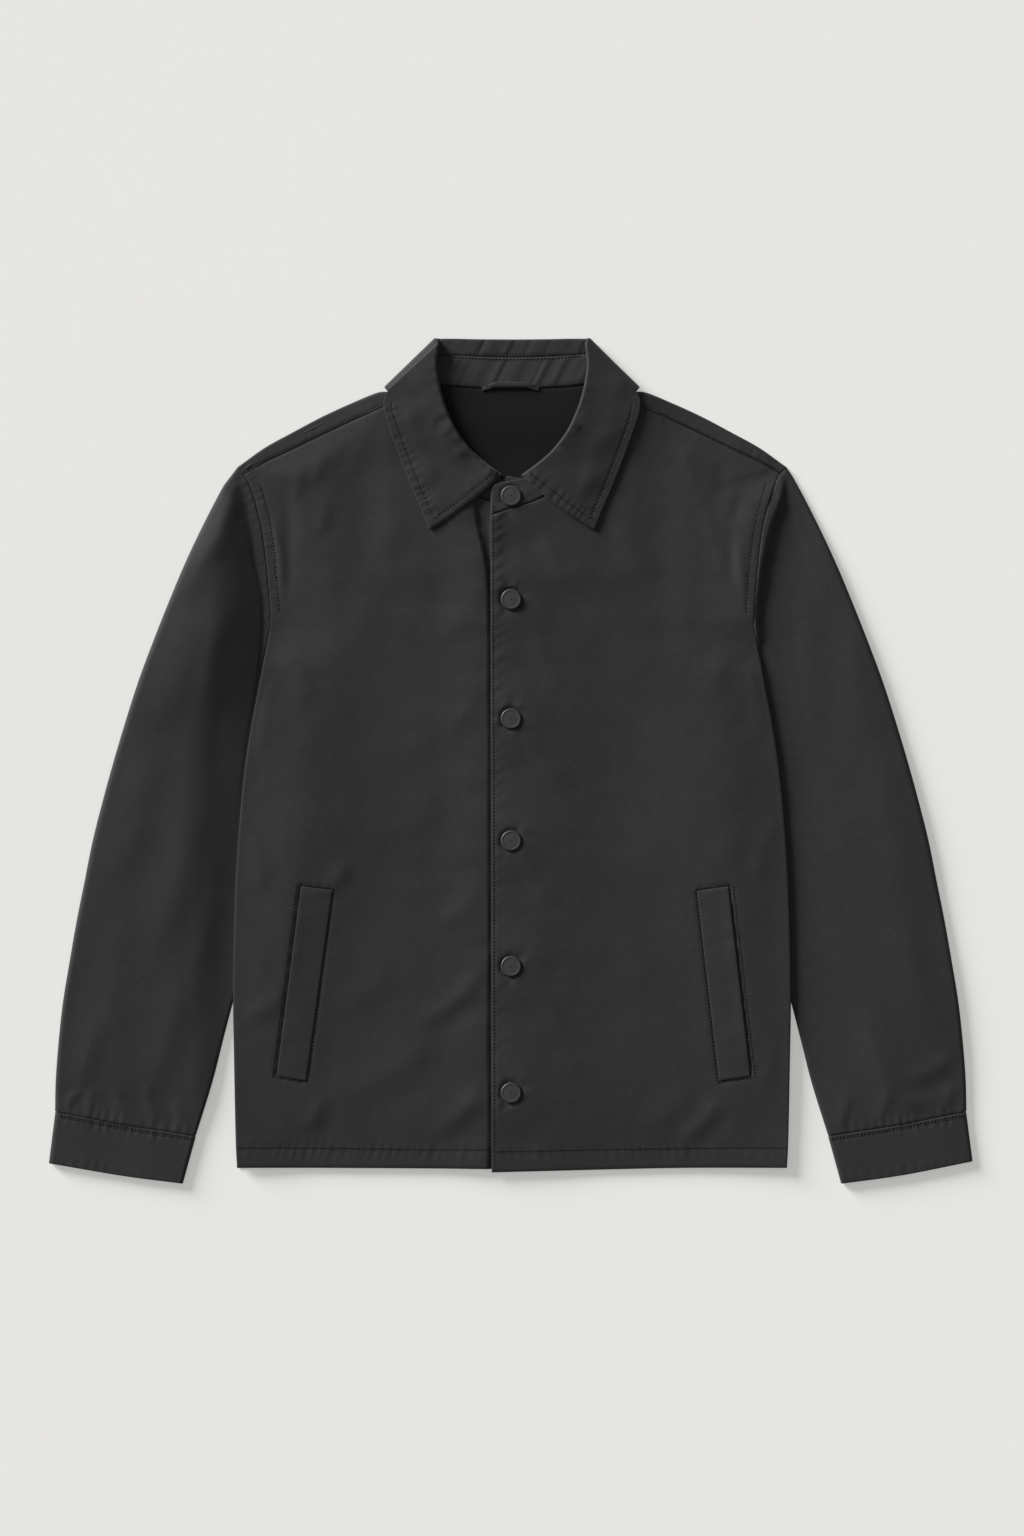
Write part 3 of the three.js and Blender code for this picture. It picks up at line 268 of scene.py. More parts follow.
def curve(rows, count=500):
    """A smooth line through rows: cubic Hermite pieces on centripetal knots, evenly spaced by length."""
    p = np.asarray(rows, float)
    knots = np.concatenate([[0], np.cumsum(np.sqrt(np.linalg.norm(np.diff(p, axis=0), axis=1)))])
    slopes = np.gradient(p, knots, axis=0)
    fine = np.linspace(0, knots[-1], 6 * count)
    k = np.clip(np.searchsorted(knots, fine, side="right") - 1, 0, len(p) - 2)
    h = (knots[k + 1] - knots[k])[:, None]
    t = (fine[:, None] - knots[k][:, None]) / h
    line = (2 * t**3 - 3 * t**2 + 1) * p[k] + (t**3 - 2 * t**2 + t) * h * slopes[k]
    line += (3 * t**2 - 2 * t**3) * p[k + 1] + (t**3 - t**2) * h * slopes[k + 1]
    return even(line, count)


def at(line, share):
    """Points of an evenly spaced line at shares of its length, for an array of any shape."""
    run = np.linspace(0, 1, len(line))
    return np.stack([np.interp(share, run, column) for column in line.T], axis=-1)


def outline_x(*rows):
    """x of an outline as a function of y, for an outline whose y only rises or only falls."""
    line = np.concatenate([curve(r) for r in rows])
    line = line[np.argsort(line[:, 1])]
    return lambda y: np.interp(y, line[:, 1], line[:, 0])


side_x = outline_x(SIDE_EDGE, ARMHOLE)
sleeve_inner_x = outline_x(SLEEVE_INNER)
sleeve_outer_x = outline_x(SLEEVE_OUTER)


def coons(bottom, top, left, right, u, v):
    """Plan points of a patch inside four edges: the sum of the two ruled surfaces between opposite
    edges, less the surface between the four corners. u and v are arrays of one common shape."""
    b, t, l, r = at(bottom, u), at(top, u), at(left, v), at(right, v)
    u, v = u[..., None], v[..., None]
    corners = mix(mix(bottom[0], bottom[-1], u), mix(top[0], top[-1], u), v)
    return mix(b, t, v) + mix(l, r, u) - corners


def noise_line(s, seed):
    """Uneven waves along a line, about -1 to 1, one every unit of s: random values joined smoothly."""
    values = np.random.default_rng(seed).uniform(-1, 1, 512)
    k = np.floor(s).astype(int)
    return mix(values[k % 512], values[(k + 1) % 512], smooth(s - k))


def noise_field(x, y, scale, seed):
    """Uneven swells over a plane, about -1 to 1, as wide as scale: random lattice values joined smoothly."""
    values = np.random.default_rng(seed).uniform(-1, 1, (64, 64))
    x, y = x / scale, y / scale
    i, j = np.floor(x).astype(int), np.floor(y).astype(int)
    fx, fy = smooth(x - i), smooth(y - j)
    low = mix(values[i % 64, j % 64], values[(i + 1) % 64, j % 64], fx)
    high = mix(values[i % 64, (j + 1) % 64], values[(i + 1) % 64, (j + 1) % 64], fx)
    return mix(low, high, fy)


def folds(x, y, rows):
    """Height of soft folds: each is a bell across its bowed line, with a shallow dip beside it, and
    fades out at both ends."""
    z = np.zeros_like(x)
    for x0, y0, x1, y1, bow, width, height in rows:
        length = math.hypot(x1 - x0, y1 - y0)
        ax, ay = (x1 - x0) / length, (y1 - y0) / length
        s = ((x - x0) * ax + (y - y0) * ay) / length
        off = (x - x0) * ay - (y - y0) * ax - bow * 4 * s * (1 - s)
        fade = smooth(s * 2.2 + 0.3) * smooth((1 - s) * 2.2 + 0.3)
        across = np.exp(-np.abs(off / width) ** 1.7) - 0.35 * bell(off - 1.7 * width, width)
        z += height * fade * across
    return z


def near_line(x, y, line, reach):
    """Length run along a line and signed distance to it, for the points within reach of it."""
    low, high = line.min(0) - reach, line.max(0) + reach
    near = (x > low[0]) & (x < high[0]) & (y > low[1]) & (y < high[1])
    p = np.stack([x[near], y[near]], axis=1)
    if not len(p):
        return near, np.zeros(0), np.zeros(0)
    a, d = line[:-1], np.diff(line, axis=0)
    length = np.linalg.norm(d, axis=1)
    run = np.concatenate([[0], np.cumsum(length)])[:-1]
    best, s, off = np.full(len(p), 1e9), np.zeros(len(p)), np.zeros(len(p))
    for k in range(len(a)):
        w = p - a[k]
        t = np.clip((w @ d[k]) / length[k] ** 2, 0, 1)
        gap = np.linalg.norm(w - t[:, None] * d[k], axis=1)
        closer = gap < best
        best[closer] = gap[closer]
        s[closer] = (run[k] + t * length[k])[closer]
        off[closer] = (np.sign(d[k][0] * w[:, 1] - d[k][1] * w[:, 0]) * gap)[closer]
    return near, s, off


def seam(x, y, line, groove=0.35, pucker=0.3, pitch=8.0, band=5.0, side=0, slant=0.0, seed=1):
    """Relief of a sewn line: a narrow groove under the thread, and uneven puckers square to it that fade
    over band millimetres on both sides, or more strongly on the side named."""
    z = np.zeros_like(x)
    near, s, off = near_line(x, y, line, 3 * band)
    if not len(s):
        return z
    run = s + slant * off
    waves = np.sin(2 * np.pi * (run / pitch + 0.5 * noise_line(run / (2.2 * pitch), seed)))
    waves = waves * (0.55 + 0.35 * noise_line(run / (2.7 * pitch), seed + 1))
    waves = waves + 0.45 * noise_line(run / (0.6 * pitch), seed + 2)
    lean = 1 + 0.6 * side * np.tanh(off / band)
    fade = smooth(s / 6) * smooth((s.max() - s) / 6)
    relief = pucker * lean * waves * bell(off, band) * (1 - bell(off, 1.2))
    z[near] = (relief - groove * bell(off, 0.9)) * fade
    return z


def seams(x, y, rows):
    """The relief of several sewn lines together. A row is a line and what its seam differs in."""
    return sum(seam(x, y, line, **settings) for line, settings in rows)


def offset_line(line, distance):
    """A line moved sideways, to its left for a positive distance."""
    tangent = unit(np.gradient(line, axis=0))
    return line + distance * np.stack([-tangent[:, 1], tangent[:, 0]], axis=1)


def part_of(line, start, end):
    """The stretch of a line between two shares of its points."""
    return even(line[int(start * (len(line) - 1)):int(end * (len(line) - 1)) + 1], 120)


def polyline(*points):
    """Straight stretches through points, evenly spaced by length."""
    return even(np.asarray(points, float), 120)


# Heights of the layers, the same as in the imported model

def collar_rise(x, y):
    """How much the back is lifted over the collar turned under it."""
    return (CLOTH + 2 * GAP) * smooth((y - 262) / 52) * (1 - smooth((np.abs(x) - 118) / 42))


def sleeve_rise(x, y):
    """How much the body is lifted over the sleeves beside the armholes."""
    across = smooth((np.abs(x) - sleeve_inner_x(y) + 42) / 40)
    return (SLEEVE_HEIGHT + GAP) * across * smooth((UNDERARM_Y - y) / 44)


def back_bottom(x, y):
    """Underside of the back, over the collar and the sleeves."""
    return collar_rise(x, y) + sleeve_rise(x, y)


def reverse_rise(x, y):
    """How much the fronts are lifted over the reverse-side cloth."""
    return (REVERSE_CLOTH + GAP) * smooth((y - 138) / 38) * (1 - smooth((np.abs(x) - 106) / 36))


def placket_rise(side, x, layer):
    """How much the over front is lifted over the under one, with a long fall past the placket."""
    return layer * (1 - smooth((x - PLACKET_REACH - 2) / 74)) if side > 0 else 0 * x


def stand_front(side, x, y, thickness):
    """Middle height of a collar piece of this thickness where it lies on the fronts."""
    base = CLOTH + GAP + REVERSE_CLOTH + GAP + collar_rise(x, y)
    return base + placket_rise(side, x, BAND + GAP) + thickness / 2


# Sewn lines of the fronts and sleeves, on one side

ARMHOLE_LINE = curve(ARMHOLE)
SHOULDER_LINE = curve(SHOULDER_SEAM)
SHOULDER_FOLD_LINE = curve(SHOULDER_FOLD)
CUFF_LINE = curve(CUFF_TOP)
CUFF_ROWS = (-1.6, -3.6)  # the two stitch rows below the cuff's seam
SHOULDER_STITCH = (0.8, 1.9)  # how far from the shoulder's seam its stitch row runs
ARMHOLE_STITCH = offset_line(ARMHOLE_LINE, 8.0)
HEM_STITCH = {side: polyline((-18.5, -351.5 if side > 0 else -349.5), (60, -350), (150, -348.6), (248, -348))
              for side in SIDES}
PLACKET_STITCH = polyline((-17.2, 246), (-17.0, 100), (-16.4, -100), (-16.0, -369))
NECK_STITCH = curve([(-17.5, 222.5), (-7.6, 226.8), (4, 230), (11.5, 231.8), (26, 237.4), (38, 244.5)])
STAND_ROWS = [curve([(-62, 364.6), (-30, 362.5), (0, 361.7), (30, 362.5), (62, 364.6)]),
              curve([(-64, 339.6), (-40, 337.8), (-28, 337.2)]),
              curve([(26, 337.2), (40, 337.8), (64, 339.6)])]


def welt_corners(side):
    """The four corners of a side's welt: below at the inner and outer edge, above at the outer and inner."""
    top, top_y, bottom, bottom_y = WELTS[side]
    below = [(bottom[k], bottom_y[k]) for k in (0, 1)]
    return np.array(below + [(top[k], top_y[k]) for k in (1, 0)])


def welt_frame(side):
    """The lines sewn round a welt: below it, up its inner edge and above it, a little outside the band,
    and one past the slit beside its outer edge."""
    c, d, slit = welt_corners(side), WELT_STITCH, WELT_STITCH + SLIT_REACH
    return [polyline(c[0] + (-d, -d), c[1] + (d, -d)), polyline(c[0] + (-d, -d), c[3] + (-d, d)),
            polyline(c[3] + (-d, d), c[2] + (d, d)), polyline(c[1] + (slit, -d), c[2] + (slit, d))]


def welt_bed(side, x, y):
    """Depth of the bed that a welt is pressed into, with a deeper open slit beside its outer edge."""
    c = welt_corners(side)
    up = np.clip((y - c[0][1]) / (c[3][1] - c[0][1]), -0.2, 1.2)
    inner, outer = mix(c[0][0], c[3][0], up), mix(c[1][0], c[2][0], up)
    share = np.clip((x - inner) / (outer - inner), 0, 1)
    low, high = mix(c[0][1], c[1][1], share), mix(c[3][1], c[2][1], share)
    along = smooth((y - low + 1.6) / 1.4) * smooth((high + 1.6 - y) / 1.4)
    bed = smooth((x - inner + 1.5) / 1.3) * smooth((outer + 2.6 - x) / 1.2)
    slit = smooth((x - outer + 1) / 1.2) * smooth((outer + 2.6 - x) / 1.2)
    return along * (WELT_BED * bed + WELT_SLIT * slit)


def shoulder_y(x):
    """y of the shoulder's fold as a function of x."""
    return np.interp(x, SHOULDER_FOLD_LINE[:, 0], SHOULDER_FOLD_LINE[:, 1])


def loft(x, y):
    """Air under a front: none at its edges, a little under the collar points, and most in the open cloth."""
    inward = np.minimum(side_x(y) - x, shoulder_y(x) - y)
    wing = smooth((170 - x) / 54) * smooth((y - 118) / 84)
    hem = 0.3 + 0.7 * smooth((y - HEM_Y) / 60)
    ridge = bell(shoulder_y(x) - y - 30, 20) * smooth((x - 118) / 20)
    return smooth((inward - 1) / 60) * hem * (0.4 + 1.9 * (1 - wing) + 1.9 * ridge)


def snap_dimples(x, y):
    """A shallow ring pressed in round each snap, which rises from the cap's edge and fades out over some
    40 mm, with a few short creases that leave it unevenly."""
    z = np.zeros_like(x)
    for k, snap_y in enumerate(SNAP_YS):
        dx, dy = x - SNAP_X, y - snap_y
        r = np.hypot(dx, dy)
        turn = np.arctan2(dy, dx)
        creases = np.sin(5 * turn + 1.7 * k) + 0.6 * np.sin(8 * turn + 2.9 * k)
        ring = smooth((r - 9.5) / 1.8) * (1 - smooth((r - 12) / 36))
        z += 1.4 * ring + 0.22 * creases * bell(r - 14, 5)
    return z


def front_seams(side):
    """The sewn lines of a front: armhole twice, hem, shoulder and welt, and on the over front placket
    and neck."""
    rows = [
        (ARMHOLE_STITCH[30:], dict(pucker=0.4, pitch=5.5, side=-1, seed=41 + side)),
        (offset_line(ARMHOLE_LINE, 3.5), dict(groove=0, pucker=0.38, pitch=5.5, seed=41 + side)),
        (HEM_STITCH[side], dict(pucker=0.34, pitch=7.5, band=8, side=-1, slant=0.3, seed=51 + side)),
        (SHOULDER_LINE, dict(groove=0.1, pucker=0.22, pitch=11, band=8, seed=61 + side)),
    ]
    for k, line in enumerate(welt_frame(side)):
        rows.append((line, dict(groove=0.4, pucker=0.25, pitch=9, band=7, seed=71 + 3 * k + side)))
    if side > 0:
        rows += [
            (PLACKET_STITCH, dict(groove=0.3, pucker=0.26, pitch=11, band=9, side=1, slant=0.5, seed=83)),
            (NECK_STITCH, dict(groove=0.3, pitch=7, seed=85)),
        ]
    return rows


def crevice_beside_placket(x, y):
    """The under front stands up a little along the placket's edge, unevenly and farther off near the
    collar, so that a dark line shows between the two."""
    start = 19.7 + 12 * smooth((y - 130) / 100) ** 2
    height = 1.7 + 0.5 * noise_line(y / 14 + 60, 87) + 0.6 * smooth((y - 130) / 80)
    return height * smooth((x - start) / 1.6) * (1 - smooth((x - start - 4) / 46)) * smooth((250 - y) / 12)


def front_relief(side, x, y, puckers):
    """What the cloth of a front adds to its plain height: swells, listed folds, sewn lines, snaps."""
    inward = np.minimum(side_x(y) - x, 330 - y)
    calm = smooth((inward - 1) / 14)
    z = 0.62 * calm * folds(x, y, OVER_FRONT_FOLDS if side > 0 else UNDER_FRONT_FOLDS)
    z += 0.36 * calm * noise_field(x + 300, y + 400, 54, 11 + side)
    z += 0.16 * calm * noise_field(x + y, y - x, 25, 21 + side)
    z += 0.18 * (1 - smooth((x - 60) / 60)) * noise_field(x + 90, y * 2.1, 30, 31 + side)
    z += puckers * seams(x, y, front_seams(side)) - welt_bed(side, x, y)
    if side < 0:
        return z + crevice_beside_placket(x, y)
    held = smooth((y - 88) / 46) * smooth((262 - y) / 30)
    z += 5.4 * held * (1 - smooth((side_x(y) - 1 - x) / 54))
    return z + snap_dimples(x, y) + 1.3 * smooth((y - 90) / 120) * bell(x + 17, 9)


def front_top(side, x, y, puckers=1.0):
    """Upper face of a front: the layers under it, some air, and the cloth's own relief. Over a sleeve it
    climbs more slowly than the back does."""
    over_sleeve = smooth((x - sleeve_inner_x(y) + 112) / 110) * smooth((UNDERARM_Y - y) / 44)
    under = collar_rise(x, y) + (SLEEVE_HEIGHT + GAP) * over_sleeve + CLOTH + GAP + reverse_rise(x, y)
    over = placket_rise(side, x, CLOTH + GAP)
    return under + over + loft(x, y) + CLOTH + front_relief(side, x, y, puckers)


def head_fall(side, x, y):
    """How a sleeve's head lies. On the viewer's left it climbs from the crease to a crest that keeps the
    light off its inner slope; on the right the strip beside the armhole stands above the sleeve."""
    rows = curve((LEFT_HEAD if side < 0 else RIGHT_HEAD)[::-1]).T
    crease, *rest = (np.interp(y, rows[0], row) for row in rows[1:])
    if side < 0:
        crest, height = rest
        share = np.clip((x - crease) / (crest - crease), 0, 1)
        climb = (1.36 * share - 0.36 * share**4) * smooth(share / 0.1)
        beyond = np.clip((x - crest) / (sleeve_outer_x(y) - crest), 0, 1)
        return height * climb - 0.36 * np.minimum(height, 7) * beyond**1.6
    return rest[0] * (1 - smooth((x - crease) / 2.6))


def sleeve_top(side, x, y):
    """Upper face of a sleeve: pressed flat beside and under the body, fuller away from it."""
    near, run = (2, 36) if side < 0 else (16, 80)
    outward = x - np.where(y < HEM_Y, SIDE_EDGE[0][0] + 0.5, side_x(y))
    full = smooth((outward - near) / run)
    at_cuff = np.interp(x, *np.array(CUFF_TOP).T)
    air = mix(1.9, 3.0 * full, smooth((y - at_cuff - 2) / 60))
    if side < 0:
        air *= 1 - smooth((y + 140) / 200) * smooth((252 - y) / 14)
    z = SLEEVE_HEIGHT + air + head_fall(side, x, y)
    z += folds(x, y, SLEEVE_FOLDS[side]) * (0.22 + 0.5 * full)
    z += 0.5 * full * noise_field(x * 1.6 + y * 0.35 + 200, y * 0.7, 50, 91 + side)
    z += 0.16 * full * noise_field(x, y, 24, 95 + side)
    return z + seams(x, y, [
        (ARMHOLE_LINE, dict(groove=0, pitch=9, band=7, seed=101 + side)),
        (CUFF_LINE, dict(groove=0, pucker=0.45, pitch=9, band=9, seed=105 + side)),
    ])


def rim_shares(length, count, warp=None):
    """Shares across a cloth length millimetres wide, with close lines in the rounded edge at both ends,
    and the share of the half thickness that the cloth has there: a quarter circle rising from the edge."""
    inside = np.linspace(0, 1, count)
    inside = RIM + (length - 2 * RIM) * (warp(inside) if warp else inside)
    d = np.concatenate([CLOSE, inside, length - CLOSE[::-1]])
    edge = np.clip(np.minimum(d, length - d) / RIM, 0, 1)
    return d / length, np.sqrt(1 - (1 - edge) ** 2)


def cloth_grid(width, depth, columns, rows, warp=None):
    """Shares u and v over a cloth of about width by depth millimetres, as two arrays of one shape, and the
    share of its half thickness at each point: the product of those along the two directions."""
    u, half_u = rim_shares(width, columns)
    v, half_v = rim_shares(depth, rows, warp)
    return *np.meshgrid(u, v), half_v[:, None] * half_u[None, :]


def blunt_ends(count, second):
    """Shares of the half thickness along a strip: nothing at both ends, second beside them, then all."""
    half = np.ones(count)
    half[[0, -1]] = 0
    half[[1, -2]] = second
    return half


def normals_of(middle, closed):
    """Unit normals of a grid of points, from the cross product of its two central differences."""
    along = np.gradient(middle, axis=0)
    if closed:
        across = np.roll(middle, -1, axis=1) - np.roll(middle, 1, axis=1)
    else:
        across = np.gradient(middle, axis=1)
    n = np.cross(along, across)
    return n / np.maximum(np.linalg.norm(n, axis=2, keepdims=True), 1e-12)


def grid_faces(index, closed=False):
    """Four-cornered faces between the neighbours of a grid of point numbers, and from its last column back
    to its first where it is closed."""
    if closed:
        index = np.concatenate([index, index[:, :1]], axis=1)
    corners = [index[:-1, :-1], index[:-1, 1:], index[1:, 1:], index[1:, :-1]]
    return np.stack(corners, axis=-1).reshape(-1, 4)


def shell(middle, half, closed=False, upright=False):
    """A closed wall round a middle surface: every point is moved out by half along the normal, up for one
    face and down for the other, and where half is 0, on the rim, both faces share the point."""
    n, m = middle.shape[:2]
    normal = np.array([0.0, 0.0, 1.0]) if upright else normals_of(middle, closed)
    out = half[..., None] * normal
    upper, lower = middle + out, middle - out
    top = np.arange(n * m).reshape(n, m)
    rim = np.zeros((n, m), bool)
    rim[[0, -1], :] = True
    if not closed:
        rim[:, [0, -1]] = True
    bottom = top.copy()
    bottom[~rim] = n * m + np.arange((~rim).sum())
    points = np.concatenate([upper.reshape(-1, 3), lower[~rim]])
    faces = np.concatenate([grid_faces(top, closed), grid_faces(bottom, closed)[:, ::-1]])
    return points, faces


def facing_out(points, faces):
    """Turns all faces round where the signed volume they enclose is negative."""
    p = points - points.mean(0)
    a, b, c, d = (p[faces[:, k]] for k in range(4))
    volume = (a * np.cross(b, c)).sum() + (a * np.cross(c, d)).sum()
    return faces if volume > 0 else faces[:, ::-1]


def joined(*parts):
    """Several walls as one mesh, each with its faces turned outwards."""
    points, faces, start = [], [], 0
    for p, f in parts:
        points.append(p)
        faces.append(facing_out(p, f) + start)
        start += len(p)
    return np.concatenate(points), np.concatenate(faces)


def put(name, points, faces, finish, node, slot):
    """Makes a mesh object from millimetre points and four-cornered faces, and hides the imported part it
    replaces.
    """
    faces = facing_out(points, faces)
    mesh = bpy.data.meshes.new(name)
    mesh.vertices.add(len(points))
    mesh.vertices.foreach_set("co", (points * MM).astype(np.float32).ravel())
    mesh.loops.add(faces.size)
    mesh.loops.foreach_set("vertex_index", faces.astype(np.int32).ravel())
    mesh.polygons.add(len(faces))
    mesh.polygons.foreach_set("loop_start", np.arange(0, faces.size, 4, dtype=np.int32))
    mesh.update(calc_edges=True)
    mesh.validate()
    mesh.shade_smooth()
    piece = bpy.data.objects.new(name, mesh)
    bpy.context.scene.collection.objects.link(piece)
    mesh.materials.append(finish)
    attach(piece, "root")
    if node:
        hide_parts(node)
    return piece


def cloth_area(points, faces):
    """Square metres of one face of a cloth: half of what the faces of its wall measure."""
    a, b, c, d = (points[faces[:, k]] for k in range(4))
    wall = np.linalg.norm(np.cross(c - a, d - b), axis=1).sum() / 2
    return float(wall) * MM * MM / 2


def put_cloth(name, wall, node, kind="shell"):
    points, faces = wall
    piece = put(name, points, faces, material(kind), node, kind + "_cloth")
    cloth_area(points, faces)


def linear(code):
    """An sRGB hex colour as linear light."""
    value = code.lstrip("#")
    channels = [int(value[k:k + 2], 16) / 255 for k in (0, 2, 4)]
    return [c / 12.92 if c <= 0.04045 else ((c + 0.055) / 1.055) ** 2.4 for c in channels]


def sizes():
    """The sizes that a user can change."""
    return bpy.context.scene.jacket_sizes


def colours():
    """The colours that a user can change."""
    return bpy.context.scene.jacket_colours


# Materials

def feed(tree, node, **inputs):
    """Sets or links a node's inputs, named with _ for a space, or by number as i0, i1 and so on."""
    for key, value in inputs.items():
        by_number = key[0] == "i" and key[1:].isdigit()
        socket = node.inputs[int(key[1:]) if by_number else key.replace("_", " ")]
        if isinstance(value, bpy.types.NodeSocket):
            tree.links.new(value, socket)
        else:
            socket.default_value = value


def add_node(tree, kind, settings=None, **inputs):
    """Adds a node with its own settings and its inputs, and returns it."""
    node = tree.nodes.new(kind)
    for key, value in (settings or {}).items():
        setattr(node, key, value)
    feed(tree, node, **inputs)
    return node


def new_material(name):
    """An empty material and its principled shader, with millimetre object coordinates."""
    made = bpy.data.materials.new(name)
    made.use_nodes = True
    tree = made.node_tree
    place = add_node(tree, "ShaderNodeTexCoord")
    scaled = add_node(tree, "ShaderNodeMapping", i0=place.outputs["Object"], Scale=(1 / MM, 1 / MM, 1 / MM))
    return made, tree, tree.nodes["Principled BSDF"], scaled.outputs[0]


def tinted(colour, share):
    """A colour made lighter or darker by a share of itself, with full alpha."""
    return (*[c * share for c in colour], 1)


def woven_cloth(name, colour, twill_mm, roughness, sheen, shade, bump_mm):
    """Fine matt twill of dyed yarn: diagonal ribs, uneven yarn and a faint bloom of fibre ends give the
    eye a soft dark grey with no highlight. The ribs are drawn coarser than real ones, so that they show."""
    made, tree, shader, mm = new_material(name)
    turned = add_node(tree, "ShaderNodeMapping", i0=mm, Rotation=(0, 0, math.radians(56)))
    ribs = add_node(tree, "ShaderNodeTexWave", {"wave_type": "BANDS", "bands_direction": "X"},
                    Vector=turned.outputs[0], Scale=0.314 / twill_mm, Distortion=0.6, Detail=1.0)
    yarn = add_node(tree, "ShaderNodeTexNoise", Vector=mm, Scale=1.1, Detail=3.0, Roughness=0.6)
    slub = add_node(tree, "ShaderNodeTexNoise", Vector=mm, Scale=0.16, Detail=4.0, Roughness=0.55)
    swell = add_node(tree, "ShaderNodeTexNoise", Vector=mm, Scale=0.011, Detail=3.0, Roughness=0.5)
    add = {"operation": "MULTIPLY_ADD"}
    tone = add_node(tree, "ShaderNodeMath", add, i0=yarn.outputs[0], i1=0.45, i2=slub.outputs[0])
    tone = add_node(tree, "ShaderNodeMath", add, i0=swell.outputs[0], i1=0.5, i2=tone.outputs[0])
    spread = add_node(tree, "ShaderNodeMapRange", Value=tone.outputs[0], From_Min=0.7, From_Max=1.25)
    blend = add_node(tree, "ShaderNodeMix", {"data_type": "RGBA"}, i0=spread.outputs[0],
                     i6=tinted(colour, 1 - shade), i7=tinted(colour, 1 + shade))
    height = add_node(tree, "ShaderNodeMath", add, i0=yarn.outputs[0], i1=1.4, i2=ribs.outputs[0])
    height = add_node(tree, "ShaderNodeMath", add, i0=slub.outputs[0], i1=2.0, i2=height.outputs[0])
    bump = add_node(tree, "ShaderNodeBump", Strength=1.0, Distance=bump_mm * MM, Height=height.outputs[0])
    feed(tree, shader, Base_Color=blend.outputs[2], Normal=bump.outputs[0], Roughness=roughness,
         Specular_IOR_Level=0.28, Sheen_Weight=sheen, Sheen_Roughness=0.45)
    return made


def enamelled_snap(name, colour):
    """Brass snap cap stove-enamelled dark grey: a satin skin with fine orange peel and a faint blotch."""
    made, tree, shader, mm = new_material(name)
    peel = add_node(tree, "ShaderNodeTexNoise", Vector=mm, Scale=0.9, Detail=3.0)
    blotch = add_node(tree, "ShaderNodeTexNoise", Vector=mm, Scale=0.14, Detail=2.0)
    blend = add_node(tree, "ShaderNodeMix", {"data_type": "RGBA"}, i0=blotch.outputs[0],
                     i6=tinted(colour, 0.86), i7=tinted(colour, 1.16))
    bump = add_node(tree, "ShaderNodeBump", Strength=0.5, Distance=0.02 * MM, Height=peel.outputs[0])
    feed(tree, shader, Base_Color=blend.outputs[2], Normal=bump.outputs[0], Roughness=0.46,
         Specular_IOR_Level=0.4)
    return made


def thread_darkened_as_painted_shade(name, colour):
    """Spun polyester thread, drawn near black: its colour is painted shade of the needle holes and stitch
    grooves, darker than the thread itself, banded lighter and darker along a diagonal twist.
    """
    made, tree, shader, mm = new_material(name)
    twist = add_node(tree, "ShaderNodeTexWave", {"bands_direction": "DIAGONAL"}, Vector=mm, Scale=1.2,
                     Distortion=1.0)
    blend = add_node(tree, "ShaderNodeMix", {"data_type": "RGBA"}, i0=twist.outputs[1],
                     i6=tinted(colour, 0.7), i7=tinted(colour, 1.3))
    feed(tree, shader, Base_Color=blend.outputs[2], Roughness=0.8, Specular_IOR_Level=0.08)
    return made


def paper_floor(name, colour):
    """Seamless translucent studio paper, lit a little from beneath as well, which keeps the shadows on it
    pale: even, matt and warm pale grey."""
    made, tree, shader, mm = new_material(name)
    grain = add_node(tree, "ShaderNodeTexNoise", Vector=mm, Scale=0.4, Detail=2.0)
    blend = add_node(tree, "ShaderNodeMix", {"data_type": "RGBA"}, i0=grain.outputs[0],
                     i6=tinted(colour, 0.55), i7=tinted(colour, 0.56))
    feed(tree, shader, Base_Color=blend.outputs[2], Roughness=0.9, Specular_IOR_Level=0.1,
         Emission_Color=(*colour, 1), Emission_Strength=0.43)
    return made


MAKERS = {
    "shell": lambda colour: woven_cloth("dyed_cotton_nylon_twill", colour, twill_mm=2.0, roughness=0.78,
                                        sheen=0.1, shade=0.13, bump_mm=0.06),
    "reverse": lambda colour: woven_cloth("smooth_black_taffeta", colour, twill_mm=1.4, roughness=0.95,
                                          sheen=0.0, shade=0.1, bump_mm=0.03),
    "snap": lambda colour: enamelled_snap("stove_enamelled_brass", colour),
    "thread": lambda colour: thread_darkened_as_painted_shade("spun_polyester_thread", colour),
    "floor": lambda colour: paper_floor("seamless_studio_paper", colour),
}
MADE = {}


def material(kind):
    """The material of a kind, made once in the colour of the same name."""
    if kind not in MADE:
        MADE[kind] = MAKERS[kind](linear(getattr(colours(), kind)))
    return MADE[kind]


# Cloth pieces

def mirrored(points, side):
    """Points of the viewer's right side brought to the side named."""
    return points * np.array([side, 1, 1])


def panel(plan, top, thickness, half):
    """A wall under a height field: plan points, the height of its upper face, and the rounded rim."""
    middle = np.concatenate([plan, (top - thickness / 2)[..., None]], axis=2)
    return shell(middle, half * thickness / 2, upright=True)


